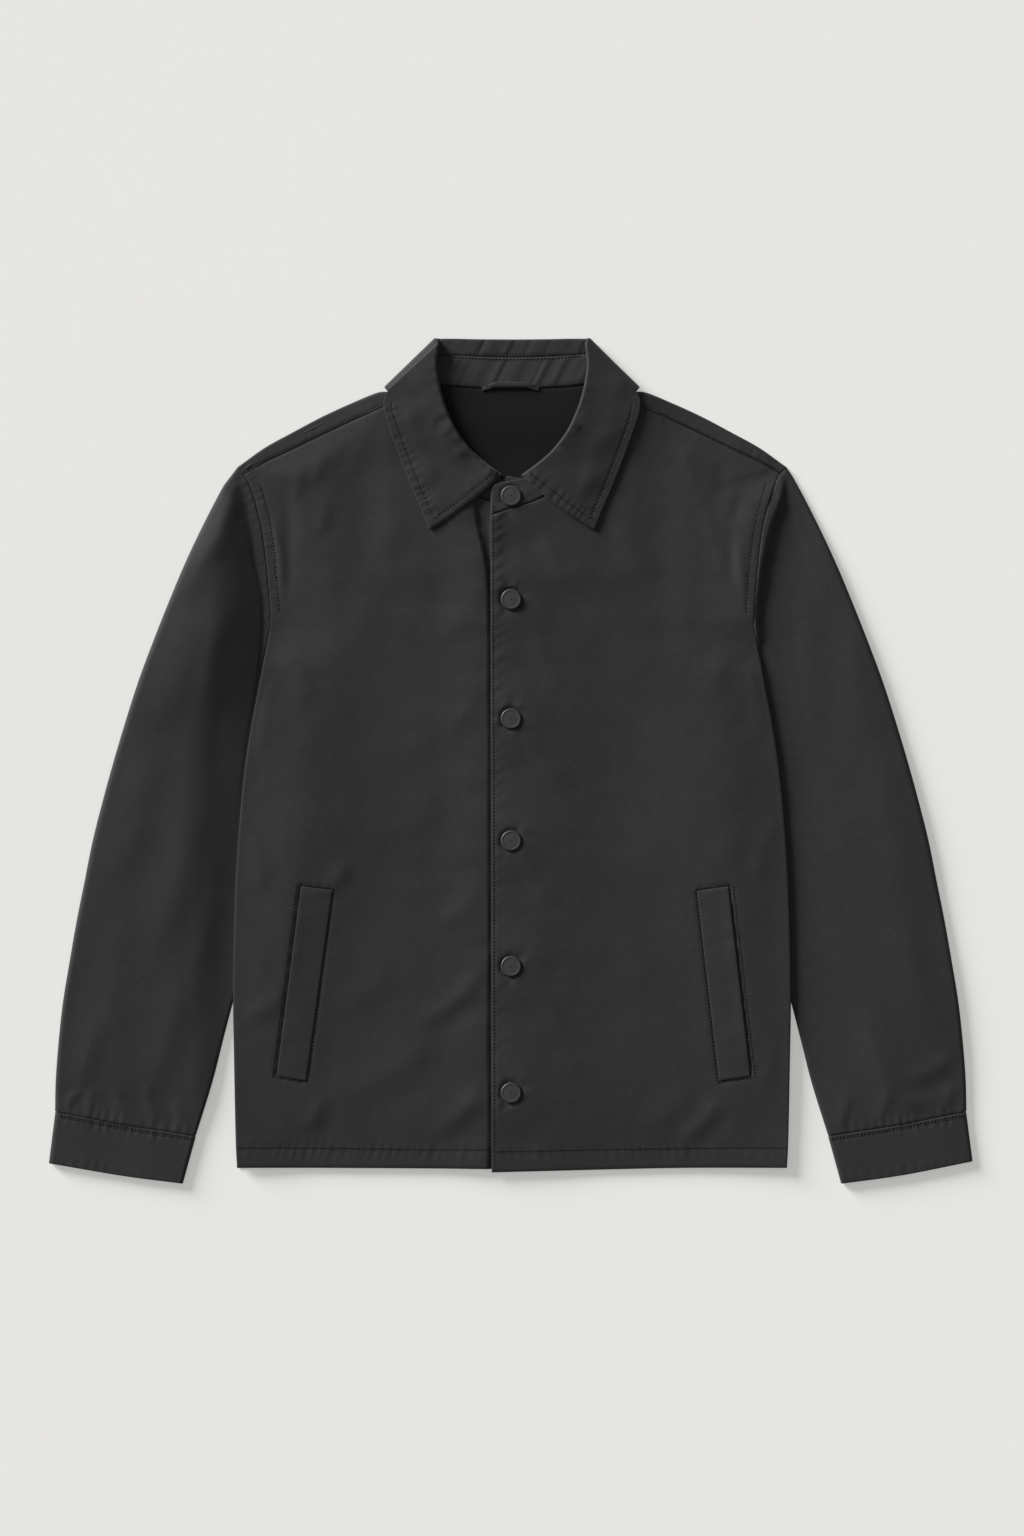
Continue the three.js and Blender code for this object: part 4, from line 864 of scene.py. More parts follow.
def front_surface(side):
    """Plan and upper face of a front between placket edge, hem, side with armhole, and neck with shoulder."""
    edge_low, edge_high = (-18.3, -19.4) if side > 0 else (-18.0, -18.0)
    drop = -370.4 if side > 0 else -367.8
    hem = curve([(edge_low, drop), (60, mix(drop, SIDE_EDGE[0][1], 0.45)), (150, -366.6), SIDE_EDGE[0]])
    placket = polyline((edge_low, drop), (mix(edge_low, edge_high, 0.6), 0), (edge_high, 221))
    side_line = even(np.concatenate([curve(SIDE_EDGE), curve(ARMHOLE[:-1] + [(241.2, 258.4)])]), 900)
    neck = curve([(edge_high, 221), (-13, 222.9), (-4, 226), (5, 228.7), (14, 231.4), (26.3, 236.2),
                  (40.3, 244.8), (52.3, 254.4), (64.4, 266.4), (78.4, 287.6), (85.4, 304), (95.5, 327.6)])
    top = even(np.concatenate([neck, SHOULDER_LINE]), 900)
    u, v, half = cloth_grid(266, 640, 148, 236, lambda t: 1 - (1 - t) * (0.7 + 0.3 * (1 - t)))
    plan = coons(hem, top, placket, side_line, u, v)
    return plan, front_top(side, *xy_of(plan)), half


def back_surface():
    """Plan of the back from hem to neck seam and just inside the shoulder folds, as one patch."""
    fold = offset_line(SHOULDER_FOLD_LINE, -3.0)
    neck = curve([(0, 334.9), (18, 335.1), (38, 335.7), (58, 337.3), (74, 340.4), (86, 341.2)])
    half_top = np.concatenate([neck, fold])
    top = even(np.concatenate([half_top[::-1] * (-1, 1), half_top[1:]]), 1200)
    side_line = even(np.concatenate([curve(SIDE_EDGE), curve(ARMHOLE[:-1] + [(245.6, 262.2)])]), 900)
    top[0], top[-1] = side_line[-1] * (-1, 1), side_line[-1]
    hem = polyline(side_line[0] * (-1, 1), side_line[0])
    u, v, half = cloth_grid(500, 660, 104, 96)
    plan = coons(hem, top, side_line * (-1, 1), side_line, u, v)
    x, y = xy_of(plan)
    creases = 0.35 * (1 + noise_field(x + 500, y + 500, 70, 5)) * smooth((240 - np.abs(x)) / 40)
    creases *= smooth((y - HEM_Y) / 50) * smooth((250 - y) / 60)
    return plan, back_bottom(x, y) + CLOTH + 0.6 * creases, half


def strip_section(low, high, width):
    """The section of a shoulder strip at each place along it, as depth in from the fold and height: a flat
    lip under the fold, a half circle round it, and a flat run on top as far as the seam."""
    radius = (high - low) / 2
    turn = np.linspace(-0.5, 0.5, 13) * np.pi
    lip = np.repeat(np.array([[7.0, 6.9, 6.6, 6.2, 5.0]]), len(low), 0)
    bend = CLOTH / 2 + radius[:, None] * (1 - np.cos(turn))
    start = bend[:, -1:]
    ahead = start + (width[:, None] - start) * np.linspace(0, 1, 14)[None, 1:-1]
    run = np.concatenate([ahead, width[:, None] - [0.32, 0.08, 0.0]], axis=1)
    depth = np.concatenate([lip, bend, run], axis=1)
    level = np.concatenate([np.repeat(low[:, None], lip.shape[1], 1),
                            low[:, None] + radius[:, None] * (1 + np.sin(turn)),
                            np.repeat(high[:, None], run.shape[1], 1)], axis=1)
    return depth, level, radius, start


def shoulder_strip(side):
    """The back's strip over a shoulder: from under the fold round it and forward to the seam, as a middle
    line with a half circle at the fold, carried along the shoulder."""
    share, half_s = rim_shares(165, 64)
    fold, seam_line = at(SHOULDER_FOLD_LINE, share), at(SHOULDER_LINE, share) + (0, SEAM_GAP)
    width = np.linalg.norm(seam_line - fold, axis=1)
    inward = unit(seam_line - fold)
    air = loft(*xy_of(seam_line))
    low = back_bottom(fold[:, 0], fold[:, 1] - 8) + CLOTH / 2
    high = front_top(side, *xy_of(seam_line), 0.0) - CLOTH / 2 - air
    depth, level, radius, start = strip_section(low, high, width)
    plan = fold[:, None] + inward[:, None] * depth[..., None]
    on_top = level > (low + radius)[:, None]
    x, y = xy_of(plan)
    relief = 0.3 * noise_field(x * 1.5, y * 1.5, 30, 207 + side) + seams(x, y, [
        (SHOULDER_LINE + SHOULDER_STITCH, dict(groove=0.3, pucker=0.35, pitch=9, band=6, seed=201 + side)),
        (ARMHOLE_STITCH, dict(groove=0.3, pitch=7, seed=205 + side)),
    ])
    forward = smooth((depth - 2 * radius[:, None]) / (width - 2 * radius)[:, None]) ** 0.8
    level = np.where(depth > start, (low + 2 * radius)[:, None] + air[:, None] * forward, level)
    middle = np.concatenate([plan, (level + relief * on_top)[..., None]], axis=2)
    half_t = np.ones(depth.shape[1])
    half_t[:4] = (0, 0.44, 0.8, 1)
    half_t[-3:] = (0.8, 0.44, 0)
    return shell(mirrored(middle, side), half_s[:, None] * half_t[None] * CLOTH / 2)


def reverse_surface():
    """The reverse-side cloth on the back, from the neck seam down to where the fronts hide it."""
    top = curve([(-86, 341), (-58, 337), (-19, 334.7), (19, 334.7), (58, 337), (86, 341)])
    bottom = polyline((-106, 178), (106, 178))
    sides = curve([(106, 178), (104, 240), (97, 300), (86, 341)])
    u, v, half = cloth_grid(200, 160, 56, 44)
    plan = coons(bottom, top, sides * (-1, 1), sides, u, v)
    x, y = xy_of(plan)
    z = back_bottom(x, y) + CLOTH + GAP + REVERSE_CLOTH
    z += 0.25 * (1 + noise_field(x + 100, y, 34, 301)) * smooth((336 - y) / 10)
    z += 0.12 * seam(x, y, top, groove=0, pucker=1.0, pitch=9, band=8, seed=303)
    return plan, z, half


def flat_tube(rows, widths, top, low, thickness, across, half_v):
    """A flattened tube of cloth as a ring for each row: half an oval round each folded edge, the upper face
    at height top and the lower one low above the floor. rows(q) gives plan points across the tube."""
    first = thickness / 2 + np.array([0.0, 0.2, 0.7, 1.5, 2.6, 4.0, 6.0, 8.4])
    width = widths[:, None]

    def face(count, lower):
        inside = np.linspace(0, 1, count)[1:-1]
        between = (first[-1] + inside[None] * (width - 2 * first[-1])) / width
        q = np.concatenate([first[None] / width, between, 1 - first[::-1][None] / width], axis=1)
        plan = rows(q)
        height = np.maximum(top(*xy_of(plan)), 2 * thickness + 0.1)
        oval = np.where(q < 0.5, 1.8, 2.4)
        inward = np.clip((np.minimum(q, 1 - q) * width - thickness / 2) / oval, 0, 1)
        level = thickness / 2 + low(*xy_of(plan)) if lower else height - thickness / 2
        z = mix(0.5 * height, level, np.sqrt(1 - (1 - inward) ** 2))
        return np.concatenate([plan, z[..., None]], axis=2)

    up, down = face(across, False), face(across // 3, True)[:, 1:-1][:, ::-1]
    ring = np.concatenate([up, down], axis=1)
    return ring, half_v[:, None] * np.full((1, ring.shape[1]), thickness / 2)


def sleeve_parts(side):
    """A sleeve's rings from the armhole to the cuff's seam, between its inner and outer edge."""
    inner, outer = curve(SLEEVE_INNER, 900), curve(SLEEVE_OUTER, 900)
    start = curve([(x + 0.1, y) for x, y in ARMHOLE])
    end = curve([(x + 0.2, y + SEAM_GAP) for x, y in CUFF_TOP])
    if side < 0:
        outer[:, 0] += WIDER * smooth((265 - outer[:, 1]) / 20)
        end[:, 0] += WIDER * np.linspace(0, 1, len(end)) ** 2
    start[0], start[-1] = inner[0], outer[0]
    end[0], end[-1] = inner[-1], outer[-1]
    v, half_v = rim_shares(600, 196)
    widths = np.interp(v, [0, 0.12, 0.35, 0.65, 1], [140, 132, 132, 140, 126])

    def rows(q):
        return coons(start, end, inner, outer, q, np.repeat(v[:, None], q.shape[1], 1))

    def top(x, y):
        return sleeve_top(side, x, y)

    def low(x, y):
        return 0.25 * (1 + noise_field(x + 600, y + 600, 50, 401 + side))

    ring, half = flat_tube(rows, widths, top, low, CLOTH, 94, half_v)
    return mirrored(ring, side), half


def cuff_parts(side):
    """A cuff's rings from its seam to its lower edge, with two ribbed rows sewn along the seam."""
    top_line, bottom_line = CUFF_LINE.copy(), curve(CUFF_BOTTOM)
    if side < 0:
        share = np.linspace(0, 1, len(top_line)) ** 2
        top_line[:, 0] += WIDER * share
        bottom_line += WIDER * share[:, None] * (1, -0.8)
    v, half_v = rim_shares(46, 26)
    lower_edge = dict(groove=0.1, pucker=0.25, pitch=10, band=7, seed=421 + side)
    sewn_lines = [(offset_line(bottom_line, 2.0), lower_edge)]
    for k, distance in enumerate(CUFF_ROWS):
        ribbed = dict(groove=0.3, pucker=0.28, pitch=8, band=6, seed=411 + 3 * k + side)
        sewn_lines.append((offset_line(top_line, distance), ribbed))

    def rows(q):
        return mix(at(top_line, q), at(bottom_line, q), v[:, None, None])

    def top(x, y):
        swells = 0.35 * noise_field(x * 1.2 + 50, y * 1.2 + 900, 40, 425 + side)
        return 2 * BAND + GAP + 1.2 + seams(x, y, sewn_lines) + swells

    def low(x, y):
        return np.zeros_like(x)

    ring, half = flat_tube(rows, np.full(len(v), CUFF_WIDTH), top, low, BAND, 90, half_v)
    return mirrored(ring, side), half


def outward_from(a, b):
    """The unit direction square to the line from a to b."""
    return unit(np.array([a[1] - b[1], b[0] - a[0]], float))


STAND_OUTWARD = outward_from(COLLAR_FRONT[-1][2:4], COLLAR_FRONT[-1][0:2])
FALL_OUTWARD = outward_from(COLLAR_FRONT[-1][4:6], COLLAR_FRONT[-1][6:8])


def collar_run(front_rows, back_rows, front_count, back_count, turn_count=13):
    """Sections along one half of the collar: columns of plan points and the turn angle in radians, which is
    a quarter circle up on the fronts and a quarter circle down behind the neck."""
    front = curve(front_rows, front_count)
    back = curve(back_rows, back_count)
    turn = np.linspace(0.5, -0.5, turn_count + 2)[1:-1] * np.pi
    between = mix(front[-1:], back[:1], np.linspace(0, 1, turn_count + 2)[1:-1, None])
    rows = np.concatenate([front, between, back])
    angle = np.concatenate([np.full(front_count, 0.5 * np.pi), turn, np.full(back_count, -0.5 * np.pi)])
    return rows, angle


def on_collar(side, plan, angle, front, back, outward):
    """Puts plan points at their height: front and back heights are the ends of a half circle, and in between
    the collar bulges outward as it turns round the side of the neck."""
    radius = (front - back) / 2
    bulge = radius * np.cos(angle)[:, None]
    z = (front + back) / 2 + radius * np.sin(angle)[:, None]
    xy = plan + outward * bulge[..., None]
    xy[..., 1] = np.minimum(xy[..., 1], TOP_Y)
    return np.concatenate([xy * (side, 1), z[..., None]], axis=2)


def halves(make):
    """Joins the under half and the over half of the collar behind the neck."""
    under, over = make(-1), make(1)
    return np.concatenate([under, over[::-1][1:]])


def band_puckers(x, y, seed):
    """Slanting drag lines across the stand and the inner leg of the fall behind the neck."""
    slanted = x - 0.5 * (y - 350)
    wide = 1 + noise_line(slanted / 4.6 + 40, seed)
    narrow = 1 + noise_line(slanted / 2.6 + 90, seed + 1)
    return (0.4 * wide + 0.14 * narrow) * (0.75 + 0.35 * noise_line(x / 26 + 50, seed + 2))


def stitch_ribs(x):
    """Small ribs one stitch apart, where the stand is sewn to the fall."""
    return 0.3 * np.sin(2 * np.pi * x / RIB_PITCH)


def stand_middle(side):
    """Middle surface of one half of the stand, from its front end round to the middle of the neck, between
    the neck seam and the seam of the fall."""
    ends = [row + (0, 0, 0, 0) for row in STAND_END]
    front_rows = [row[:4] for row in ends] + [row[:4] for row in COLLAR_FRONT]
    back_rows = [row[:4] for row in COLLAR_BACK]
    rows, angle = collar_run(front_rows, back_rows, 78, 68)
    t, _ = rim_shares(30, 20)
    neck, seam_line = rows[:, None, :2], rows[:, None, 2:4]
    length = np.linalg.norm(seam_line - neck, axis=2, keepdims=True)
    free = ((1 - smooth((rows[:, 0] - 4) / 6)) * (angle > STEEP))[:, None, None]
    tt = 0.02 + (0.98 - (0.25 / length) * (1 - free)) * t[None, :, None]
    plan = mix(neck, seam_line, tt)
    if side < 0:
        plan[..., 1] += UNDER_END_LIFT * free[..., 0] * tt[..., 0]
    x, y = xy_of(plan)
    front = stand_front(side, x, y, BAND)
    if side > 0:
        front = front + 0.25 * seam(x, y, NECK_STITCH, groove=0.8, pucker=1.2, pitch=7, seed=501)
        front = front + snap_dimples(x, y) * 0.6
    behind = (angle < -STEEP)[:, None]
    relief = band_puckers(side * x, y, 511) * (smooth(t * 6) * smooth((1 - t) * 8))[None]
    relief = relief + stitch_ribs(side * x) * smooth((t - 0.84) / 0.14)[None]
    back = CLOTH + GAP + mix(NECK_SEAM, 0, tt[..., 0]) + BAND / 2 + behind * relief
    return on_collar(side, plan, angle, front, back, STAND_OUTWARD)


def stand_parts():
    """The whole stand and its half thickness."""
    middle = halves(stand_middle)
    _, half_t = rim_shares(30, 20)
    return middle, blunt_ends(len(middle), 0.8)[:, None] * half_t[None] * BAND / 2


def fall_columns():
    """Across the fall: kind of stretch (0 inner leg, 1 fold, 2 outer leg), share of it, half thickness."""
    inner = np.concatenate([CLOSE / INNER_LEG, np.linspace(RIM / INNER_LEG, 1, 9)])
    fold = np.linspace(0, 1, 13)[1:-1]
    outer = np.concatenate([np.linspace(0, 1 - RIM / OUTER_LEG, 62), 1 - CLOSE[::-1] / OUTER_LEG])
    kind = np.concatenate([np.zeros(len(inner)), np.ones(len(fold)), np.full(len(outer), 2)])
    half = np.ones(len(kind))
    half[:3] = np.sqrt(1 - (1 - CLOSE / RIM) ** 2)
    half[-3:] = half[:3][::-1]
    return kind, np.concatenate([inner, fold, outer]), half


POINT_LINE = curve([(8, 257.2), (41, 229.8), (74, 207.5)])
WING_EDGE = curve([row[6:8] for row in COLLAR_FRONT[:9]])
POINT_STITCH = polyline((16.5, 258.5), (42, 238.6), (69.3, 218.4))
WING_STITCH = even(np.concatenate([[(69.3, 218.4)], offset_line(WING_EDGE, 7.4)[40:]]), 200)
FOLD_LINE = curve([row[4:6] for row in COLLAR_FRONT])


def wing_relief(side, x, y):
    """Relief of a collar point: folds, sewn lines with ribbed edges, and the rolled fold at the neck."""
    z = 0.8 * folds(x, y, WING_FOLDS[side])
    z += 0.22 * noise_field(x * 1.3 + 70, y * 1.3, 34, 521 + side) + 0.09 * noise_field(x, y, 12, 525 + side)
    rows = [(FOLD_LINE, dict(groove=0, pucker=0.35, pitch=11, band=6, seed=551 + side))]
    for line, seed in ((WING_STITCH, 531 + side), (POINT_STITCH, 541 + side)):
        rows.append((offset_line(line, -3), dict(groove=0, pucker=0.26, pitch=7, seed=seed)))
        rows.append((line, dict(pucker=0.2, pitch=7, band=6, seed=seed)))
    z += seams(x, y, rows)
    if side < 0:
        near, _, off = near_line(x, y, POINT_LINE, 30)
        along = smooth((x[near] - 8) / 16) * smooth((70 - x[near]) / 30)
        z[near] += 1.6 * (1 - smooth(np.abs(off) / 24)) * along
    near, _, off = near_line(x, y, WING_EDGE, 60)
    z[near] += 1.5 * smooth(off / 26) * smooth((y - 228 + 0.55 * (x - 30)) / 30)[near]
    near, _, off = near_line(x, y, FOLD_LINE, 40)
    rolled = 1.9 if side < 0 else 0.8
    z[near] += rolled * (1 - smooth(np.abs(off) / 30)) * smooth((y[near] - 258) / 40)
    return z


def fall_middle(side):
    """Middle surface of one half of the fall: the inner leg from the seam up to the fold, a half circle
    round the fold, and the outer leg down to the edge, carried round the neck."""
    rows, angle = collar_run(COLLAR_FRONT, COLLAR_BACK, 124, 68)
    kind, share, _ = fall_columns()
    seam_line, fold, edge = rows[:, None, 2:4], rows[:, None, 4:6], rows[:, None, 6:8]
    unit_seam, unit_edge = unit(seam_line - fold), unit(edge - fold)
    apart = np.where(angle > 0, BAND + GAP + POINT_LOFT, CLOTH + GAP)
    radius = (apart / 2)[:, None, None]
    start = (np.where(np.abs(np.cos(angle)) < 1e-6, 1.0, 0.0) * CLOTH / 2)[:, None, None]
    s = share[None, :, None]
    full = start + radius
    inner = mix(seam_line, fold + unit_seam * full, s)
    turn = (s - 0.5) * np.pi
    level = (1 + np.sin(turn)) / 2
    leg = unit(mix(unit_seam, unit_edge, level))
    round_fold = fold + leg * (start + radius * (1 - np.cos(turn)))
    outer = mix(fold + unit_edge * full, edge, s)
    k = kind[None, :, None]
    plan = np.where(k == 0, inner, np.where(k == 1, round_fold, outer))
    rise = np.where(kind == 0, 0.0, np.where(kind == 1, level[0, :, 0], 1.0))[None]
    bow = POINT_BULGE * 4 * share * (1 - share) * (kind == 2)
    nearness = np.exp(-np.arange(len(rows)) / 8.5)
    plan[..., 1] -= bow[None] * nearness[:, None]
    x, y = xy_of(plan)
    inner_front = stand_front(side, x, y, CLOTH)
    outer_front = inner_front + BAND + GAP + POINT_LOFT
    on_front = (angle > STEEP)[:, None] * smooth((rise - 0.5) * 2)
    front = mix(inner_front, outer_front, rise) + on_front * wing_relief(side, x, y)
    behind = (angle < -STEEP)[:, None] * (1 - rise)
    relief = 0.8 * smooth((y - 365) / 2.5) * band_puckers(side * x, y + 6, 561)
    relief = relief + stitch_ribs(side * x) * (smooth((0.3 - share) / 0.2) * (kind == 0))[None]
    back = mix(CLOTH + GAP + CLOTH / 2, CLOTH / 2, rise) + behind * relief
    outward = unit(mix(STAND_OUTWARD, FALL_OUTWARD, rise[..., None]))
    return on_collar(side, plan, angle, front, back, outward)


def fall_parts():
    """The whole fall and its half thickness."""
    middle = halves(fall_middle)
    _, _, half_t = fall_columns()
    return middle, blunt_ends(len(middle), 0.75)[:, None] * half_t[None] * CLOTH / 2


def welt_surface(side):
    """A pocket welt: a band on the front, its upper face the front's height plus its own thickness. Its outer
    edge is free and stands a little open."""
    c = welt_corners(side)
    u, v, half = cloth_grid(28, 172, 20, 84)
    plan = mix(mix(c[0], c[1], u[..., None]), mix(c[3], c[2], u[..., None]), v[..., None])
    x, y = xy_of(plan)
    z = front_top(side, x, y, 0.35) + welt_bed(side, x, y) - WELT_BED + 0.2 + WELT_CLOTH
    z += (0.2 if side < 0 else 0.6) * smooth((u - 0.6) / 0.4) * smooth(v * 6) * smooth((1 - v) * 6)
    return plan, z + 0.14 * noise_field(x, y * 2, 16, 601 + side), half


def loop_parts():
    """The hanger loop: a folded tape sewn down at both ends, arched off the neck seam between them."""
    t, half_s = rim_shares(50, 40)
    w, half_t = rim_shares(5.2, 7)
    arch = smooth(t / 0.25) * smooth((1 - t) / 0.25)
    x = mix(LOOP_X[0], LOOP_X[1], t)[:, None] + 0 * w[None]
    y = (LOOP_Y - 2.6 + 3.8 * arch)[:, None] + (w[None] - 0.5) * (3.4 + 1.8 * arch)[:, None]
    sewn_down = CLOTH + GAP + NECK_SEAM + BAND + GAP + LOOP_TAPE / 2
    z = sewn_down + (1.1 * arch)[:, None] + 0.25 * np.sin(w[None] * np.pi) - 0.1
    middle = np.stack([x, y, z + 0 * x], axis=2)
    return middle, half_s[:, None] * half_t[None] * LOOP_TAPE / 2


def snap_surface(low, high):
    """A snap cap turned about its axis: a short neck, a rolled rim and a face sunk a little inside it.
    The profile is radius and height in shares of the cap's own radius and height."""
    profile = curve([(0.0, 0.0), (0.55, 0.0), (0.80, 0.02), (0.86, 0.06), (0.93, 0.13), (0.985, 0.28),
                     (1.0, 0.48), (0.985, 0.70), (0.95, 0.88), (0.905, 0.975), (0.86, 1.0), (0.82, 0.975),
                     (0.78, 0.92), (0.70, 0.90), (0.45, 0.925), (0.2, 0.94), (0.0, 0.945)], 46)
    radius = (high[0] - low[0]) / 2
    turn = np.linspace(0, 2 * np.pi, 64, endpoint=False)
    r, h = profile[:, :1] * radius, low[2] + profile[:, 1:] * (high[2] - low[2])
    ring = np.stack([(low[0] + high[0]) / 2 + r * np.cos(turn), (low[1] + high[1]) / 2 + r * np.sin(turn),
                     h + 0 * turn], axis=2)
    n, m = ring.shape[:2]
    index = np.arange(n * m).reshape(n, m)
    index[0], index[-1] = index[0, 0], index[-1, 0]
    return ring.reshape(-1, 3), grid_faces(index, closed=True)


# Sewing

def lie_on(line, surface):
    """Heights for a line of plan points, from the four nearest points of a surface, weighted by nearness."""
    low, high = line.min(0) - 6, line.max(0) + 6
    near = surface[((surface[:, :2] > low) & (surface[:, :2] < high)).all(axis=1)]
    z = np.zeros(len(line))
    for start in range(0, len(line), 64):
        part = line[start:start + 64]
        gap = np.linalg.norm(part[:, None] - near[None, :, :2], axis=2)
        nearest = np.argpartition(gap, 4, axis=1)[:, :4]
        weight = 1 / (np.take_along_axis(gap, nearest, 1) + 0.05) ** 2
        z[start:start + 64] = (near[nearest, 2] * weight).sum(1) / weight.sum(1)
    return z


def stitches(line, pitch, length, width, seed):
    """A run of thread: one small capsule for each stitch, its ends dipped into the cloth, placed at even
    steps along the line and turned a little unevenly. line holds points in space on the cloth."""
    step = np.linalg.norm(np.diff(line, axis=0), axis=1)
    run = np.concatenate([[0], np.cumsum(step)])
    count = max(2, int(run[-1] / pitch))
    rng = np.random.default_rng(seed)
    centre = (np.arange(count) + 0.5) * run[-1] / count + rng.uniform(-0.12, 0.12, count)

    def spot(s):
        return np.stack([np.interp(s, run, column) for column in line.T], axis=-1)

    rings, sides = 6, 6
    t = np.linspace(-1, 1, rings)
    middle = spot(centre[:, None] + t[None] * length / 2)
    middle[..., 2] += 0.3 - 0.55 * np.abs(t)[None] ** 3
    along = unit(spot(centre + 0.5) - spot(centre - 0.5))
    across = unit(np.stack([-along[:, 1], along[:, 0], 0 * along[:, 0]], axis=1))
    up = np.cross(along, across)
    middle += across[:, None] * (rng.uniform(-0.1, 0.1, count)[:, None, None] + t[None, :, None] * 0.1)
    thick = width / 2 * np.sqrt(1.02 - t**2) ** 0.6
    turn = np.linspace(0, 2 * np.pi, sides, endpoint=False)
    ring = across[:, None, None] * np.cos(turn)[:, None] + up[:, None, None] * np.sin(turn)[:, None]
    points = middle[:, :, None] + thick[None, :, None, None] * ring
    index = np.arange(rings * sides).reshape(rings, sides)
    caps = np.array([[0, 5, 4, 3], [0, 3, 2, 1]])
    far_caps = index[-1, 0] + np.array([[0, 1, 2, 3], [0, 3, 4, 5]])
    faces = np.concatenate([grid_faces(index, closed=True), caps, far_caps])
    all_faces = (faces[None] + (np.arange(count) * rings * sides)[:, None, None]).reshape(-1, 4)
    return points.reshape(-1, 3), all_faces


def sewn(name, runs, surface, seed, width=None):
    """One mesh of all the runs of thread that lie on one piece of cloth."""
    pitch, width = sizes().stitch_pitch, width or sizes().thread_width
    parts = [stitches(np.column_stack([line, lie_on(line, surface)]), pitch, STITCH_LENGTH, width, seed + k)
             for k, line in enumerate(runs)]
    put(name, *joined(*parts), material("thread"), None, "shell_cloth")


SURFACES = {}  # points of the pieces' upper faces, for the sewing that lies on them


def keep_upper(name, wall, middle):
    """Keeps the upper face of a wall, whose points come first in it, as many as its middle has."""
    SURFACES[name] = wall[0][:middle[..., 0].size]


def keep_raised(name, middle, thickness):
    """Keeps a middle surface raised by half the thickness as the upper face of a piece."""
    SURFACES[name] = middle.reshape(-1, 3) + (0, 0, thickness / 2)


def above(surface, low, high=np.inf):
    """The points of a surface between two heights."""
    return surface[(surface[:, 2] > low) & (surface[:, 2] < high)]


# Properties, operators and panel

def hex_colour(name, description, default):
    """A property for an sRGB hex colour."""
    return bpy.props.StringProperty(name=name, description=description + ", sRGB hex", default=default)


class JacketSizes(bpy.types.PropertyGroup):
    stitch_pitch: bpy.props.FloatProperty(
        name="Stitch pitch", description="Length of one stitch and the gap after it, in millimetres",
        default=3.15, min=1.5, max=6)
    thread_width: bpy.props.FloatProperty(
        name="Thread width", description="Width of the sewing thread, in millimetres",
        default=0.8, min=0.2, max=1.5)
    camera_height: bpy.props.FloatProperty(
        name="Camera height", description="Height of the camera above the floor", default=3.27, unit="LENGTH")
    floor_size: bpy.props.FloatProperty(
        name="Floor size", description="Side of the square floor", default=9.0, unit="LENGTH")


class JacketColours(bpy.types.PropertyGroup):
    shell: hex_colour("Shell cloth", "Charcoal of the outer cloth", "#222224")
    reverse: hex_colour("Reverse cloth", "Black of the reverse side", "#07070a")
    snap: hex_colour("Snaps", "Dark grey enamel", "#2d2e2e")
    # The thread's near-black colour is painted shade: it stands in for the shade of the needle holes and
    # stitch grooves.
    thread: hex_colour("Thread", "Thread darker than the cloth", "#050506")
    floor: hex_colour("Floor", "Pale warm grey paper", "#e8e7e4")


class JACKET_OT_back(bpy.types.Operator):
    """Make the back with its forward shoulder strips, and the reverse-side cloth in the neck"""
    bl_idname = "jacket.back"
    bl_label = "Back and reverse side"

    def execute(self, context):
        plan, z, half = back_surface()
        strips = [shoulder_strip(side) for side in SIDES]
        for side, strip in zip(SIDES, strips):
            SURFACES[f"strip_{side}"] = strip[0]
        wall = joined(panel(plan, z, CLOTH, half), *strips)
        put_cloth("back_panel", wall, "back")
        plan, z, half = reverse_surface()
        wall = panel(plan, z, REVERSE_CLOTH, half)
        put_cloth("reverse_side", wall, "reverse_back",
                  kind="reverse")
        return {"FINISHED"}


class JACKET_OT_fronts(bpy.types.Operator):
    """Make the two fronts, the wearer's left one over the other"""
    bl_idname = "jacket.fronts"
    bl_label = "Fronts"

    def execute(self, context):
        for side in SIDES:
            plan, z, half = front_surface(side)
            points, faces = panel(plan, z, CLOTH, half)
            wall = mirrored(points, side), faces
            keep_upper(FRONTS[side], wall, plan)
            put_cloth(FRONTS[side], wall, "front_" + WEARER[side])
        return {"FINISHED"}


class JACKET_OT_sleeves(bpy.types.Operator):
    """Make the sleeves and their cuffs as flattened tubes"""
    bl_idname = "jacket.sleeves"
    bl_label = "Sleeves and cuffs"

    def execute(self, context):
        for side, wearer in WEARER.items():
            tube = "sleeve_tube_" + wearer
            wall = shell(*sleeve_parts(side), closed=True)
            put_cloth(tube, wall, "sleeve_" + wearer)
            ring, half = cuff_parts(side)
            keep_raised("cuff_" + wearer, above(ring.reshape(-1, 3), CUFF_MIDDLE), BAND)
            wall = shell(ring, half, closed=True)
            put_cloth("cuff_band_" + wearer, wall, "cuff_" + wearer)
        return {"FINISHED"}


class JACKET_OT_collar(bpy.types.Operator):
    """Make the collar stand, the fall with its two points, and the hanger loop"""
    bl_idname = "jacket.collar"
    bl_label = "Collar"

    def execute(self, context):
        middle, half = stand_parts()
        keep_raised("stand", middle, BAND)
        put_cloth("stand_band", shell(middle, half), "collar_stand")
        middle, half = fall_parts()
        keep_raised("fall", middle, CLOTH)
        put_cloth("fall_leaf", shell(middle, half), "collar_fall")
        middle, half = loop_parts()
        keep_raised("loop", middle, LOOP_TAPE)
        put("loop_tape", *shell(middle, half), material("shell"), "hanger_loop", "shell_cloth")
        return {"FINISHED"}


class JACKET_OT_welts(bpy.types.Operator):
    """Make the two slanted pocket welts"""
    bl_idname = "jacket.welts"
    bl_label = "Pocket welts"

    def execute(self, context):
        for side, wearer in WEARER.items():
            plan, z, half = welt_surface(side)
            points, faces = panel(plan, z, WELT_CLOTH, half)
            put_cloth("pocket_welt_" + wearer, (mirrored(points, side), faces), "welt_" + wearer)
        return {"FINISHED"}


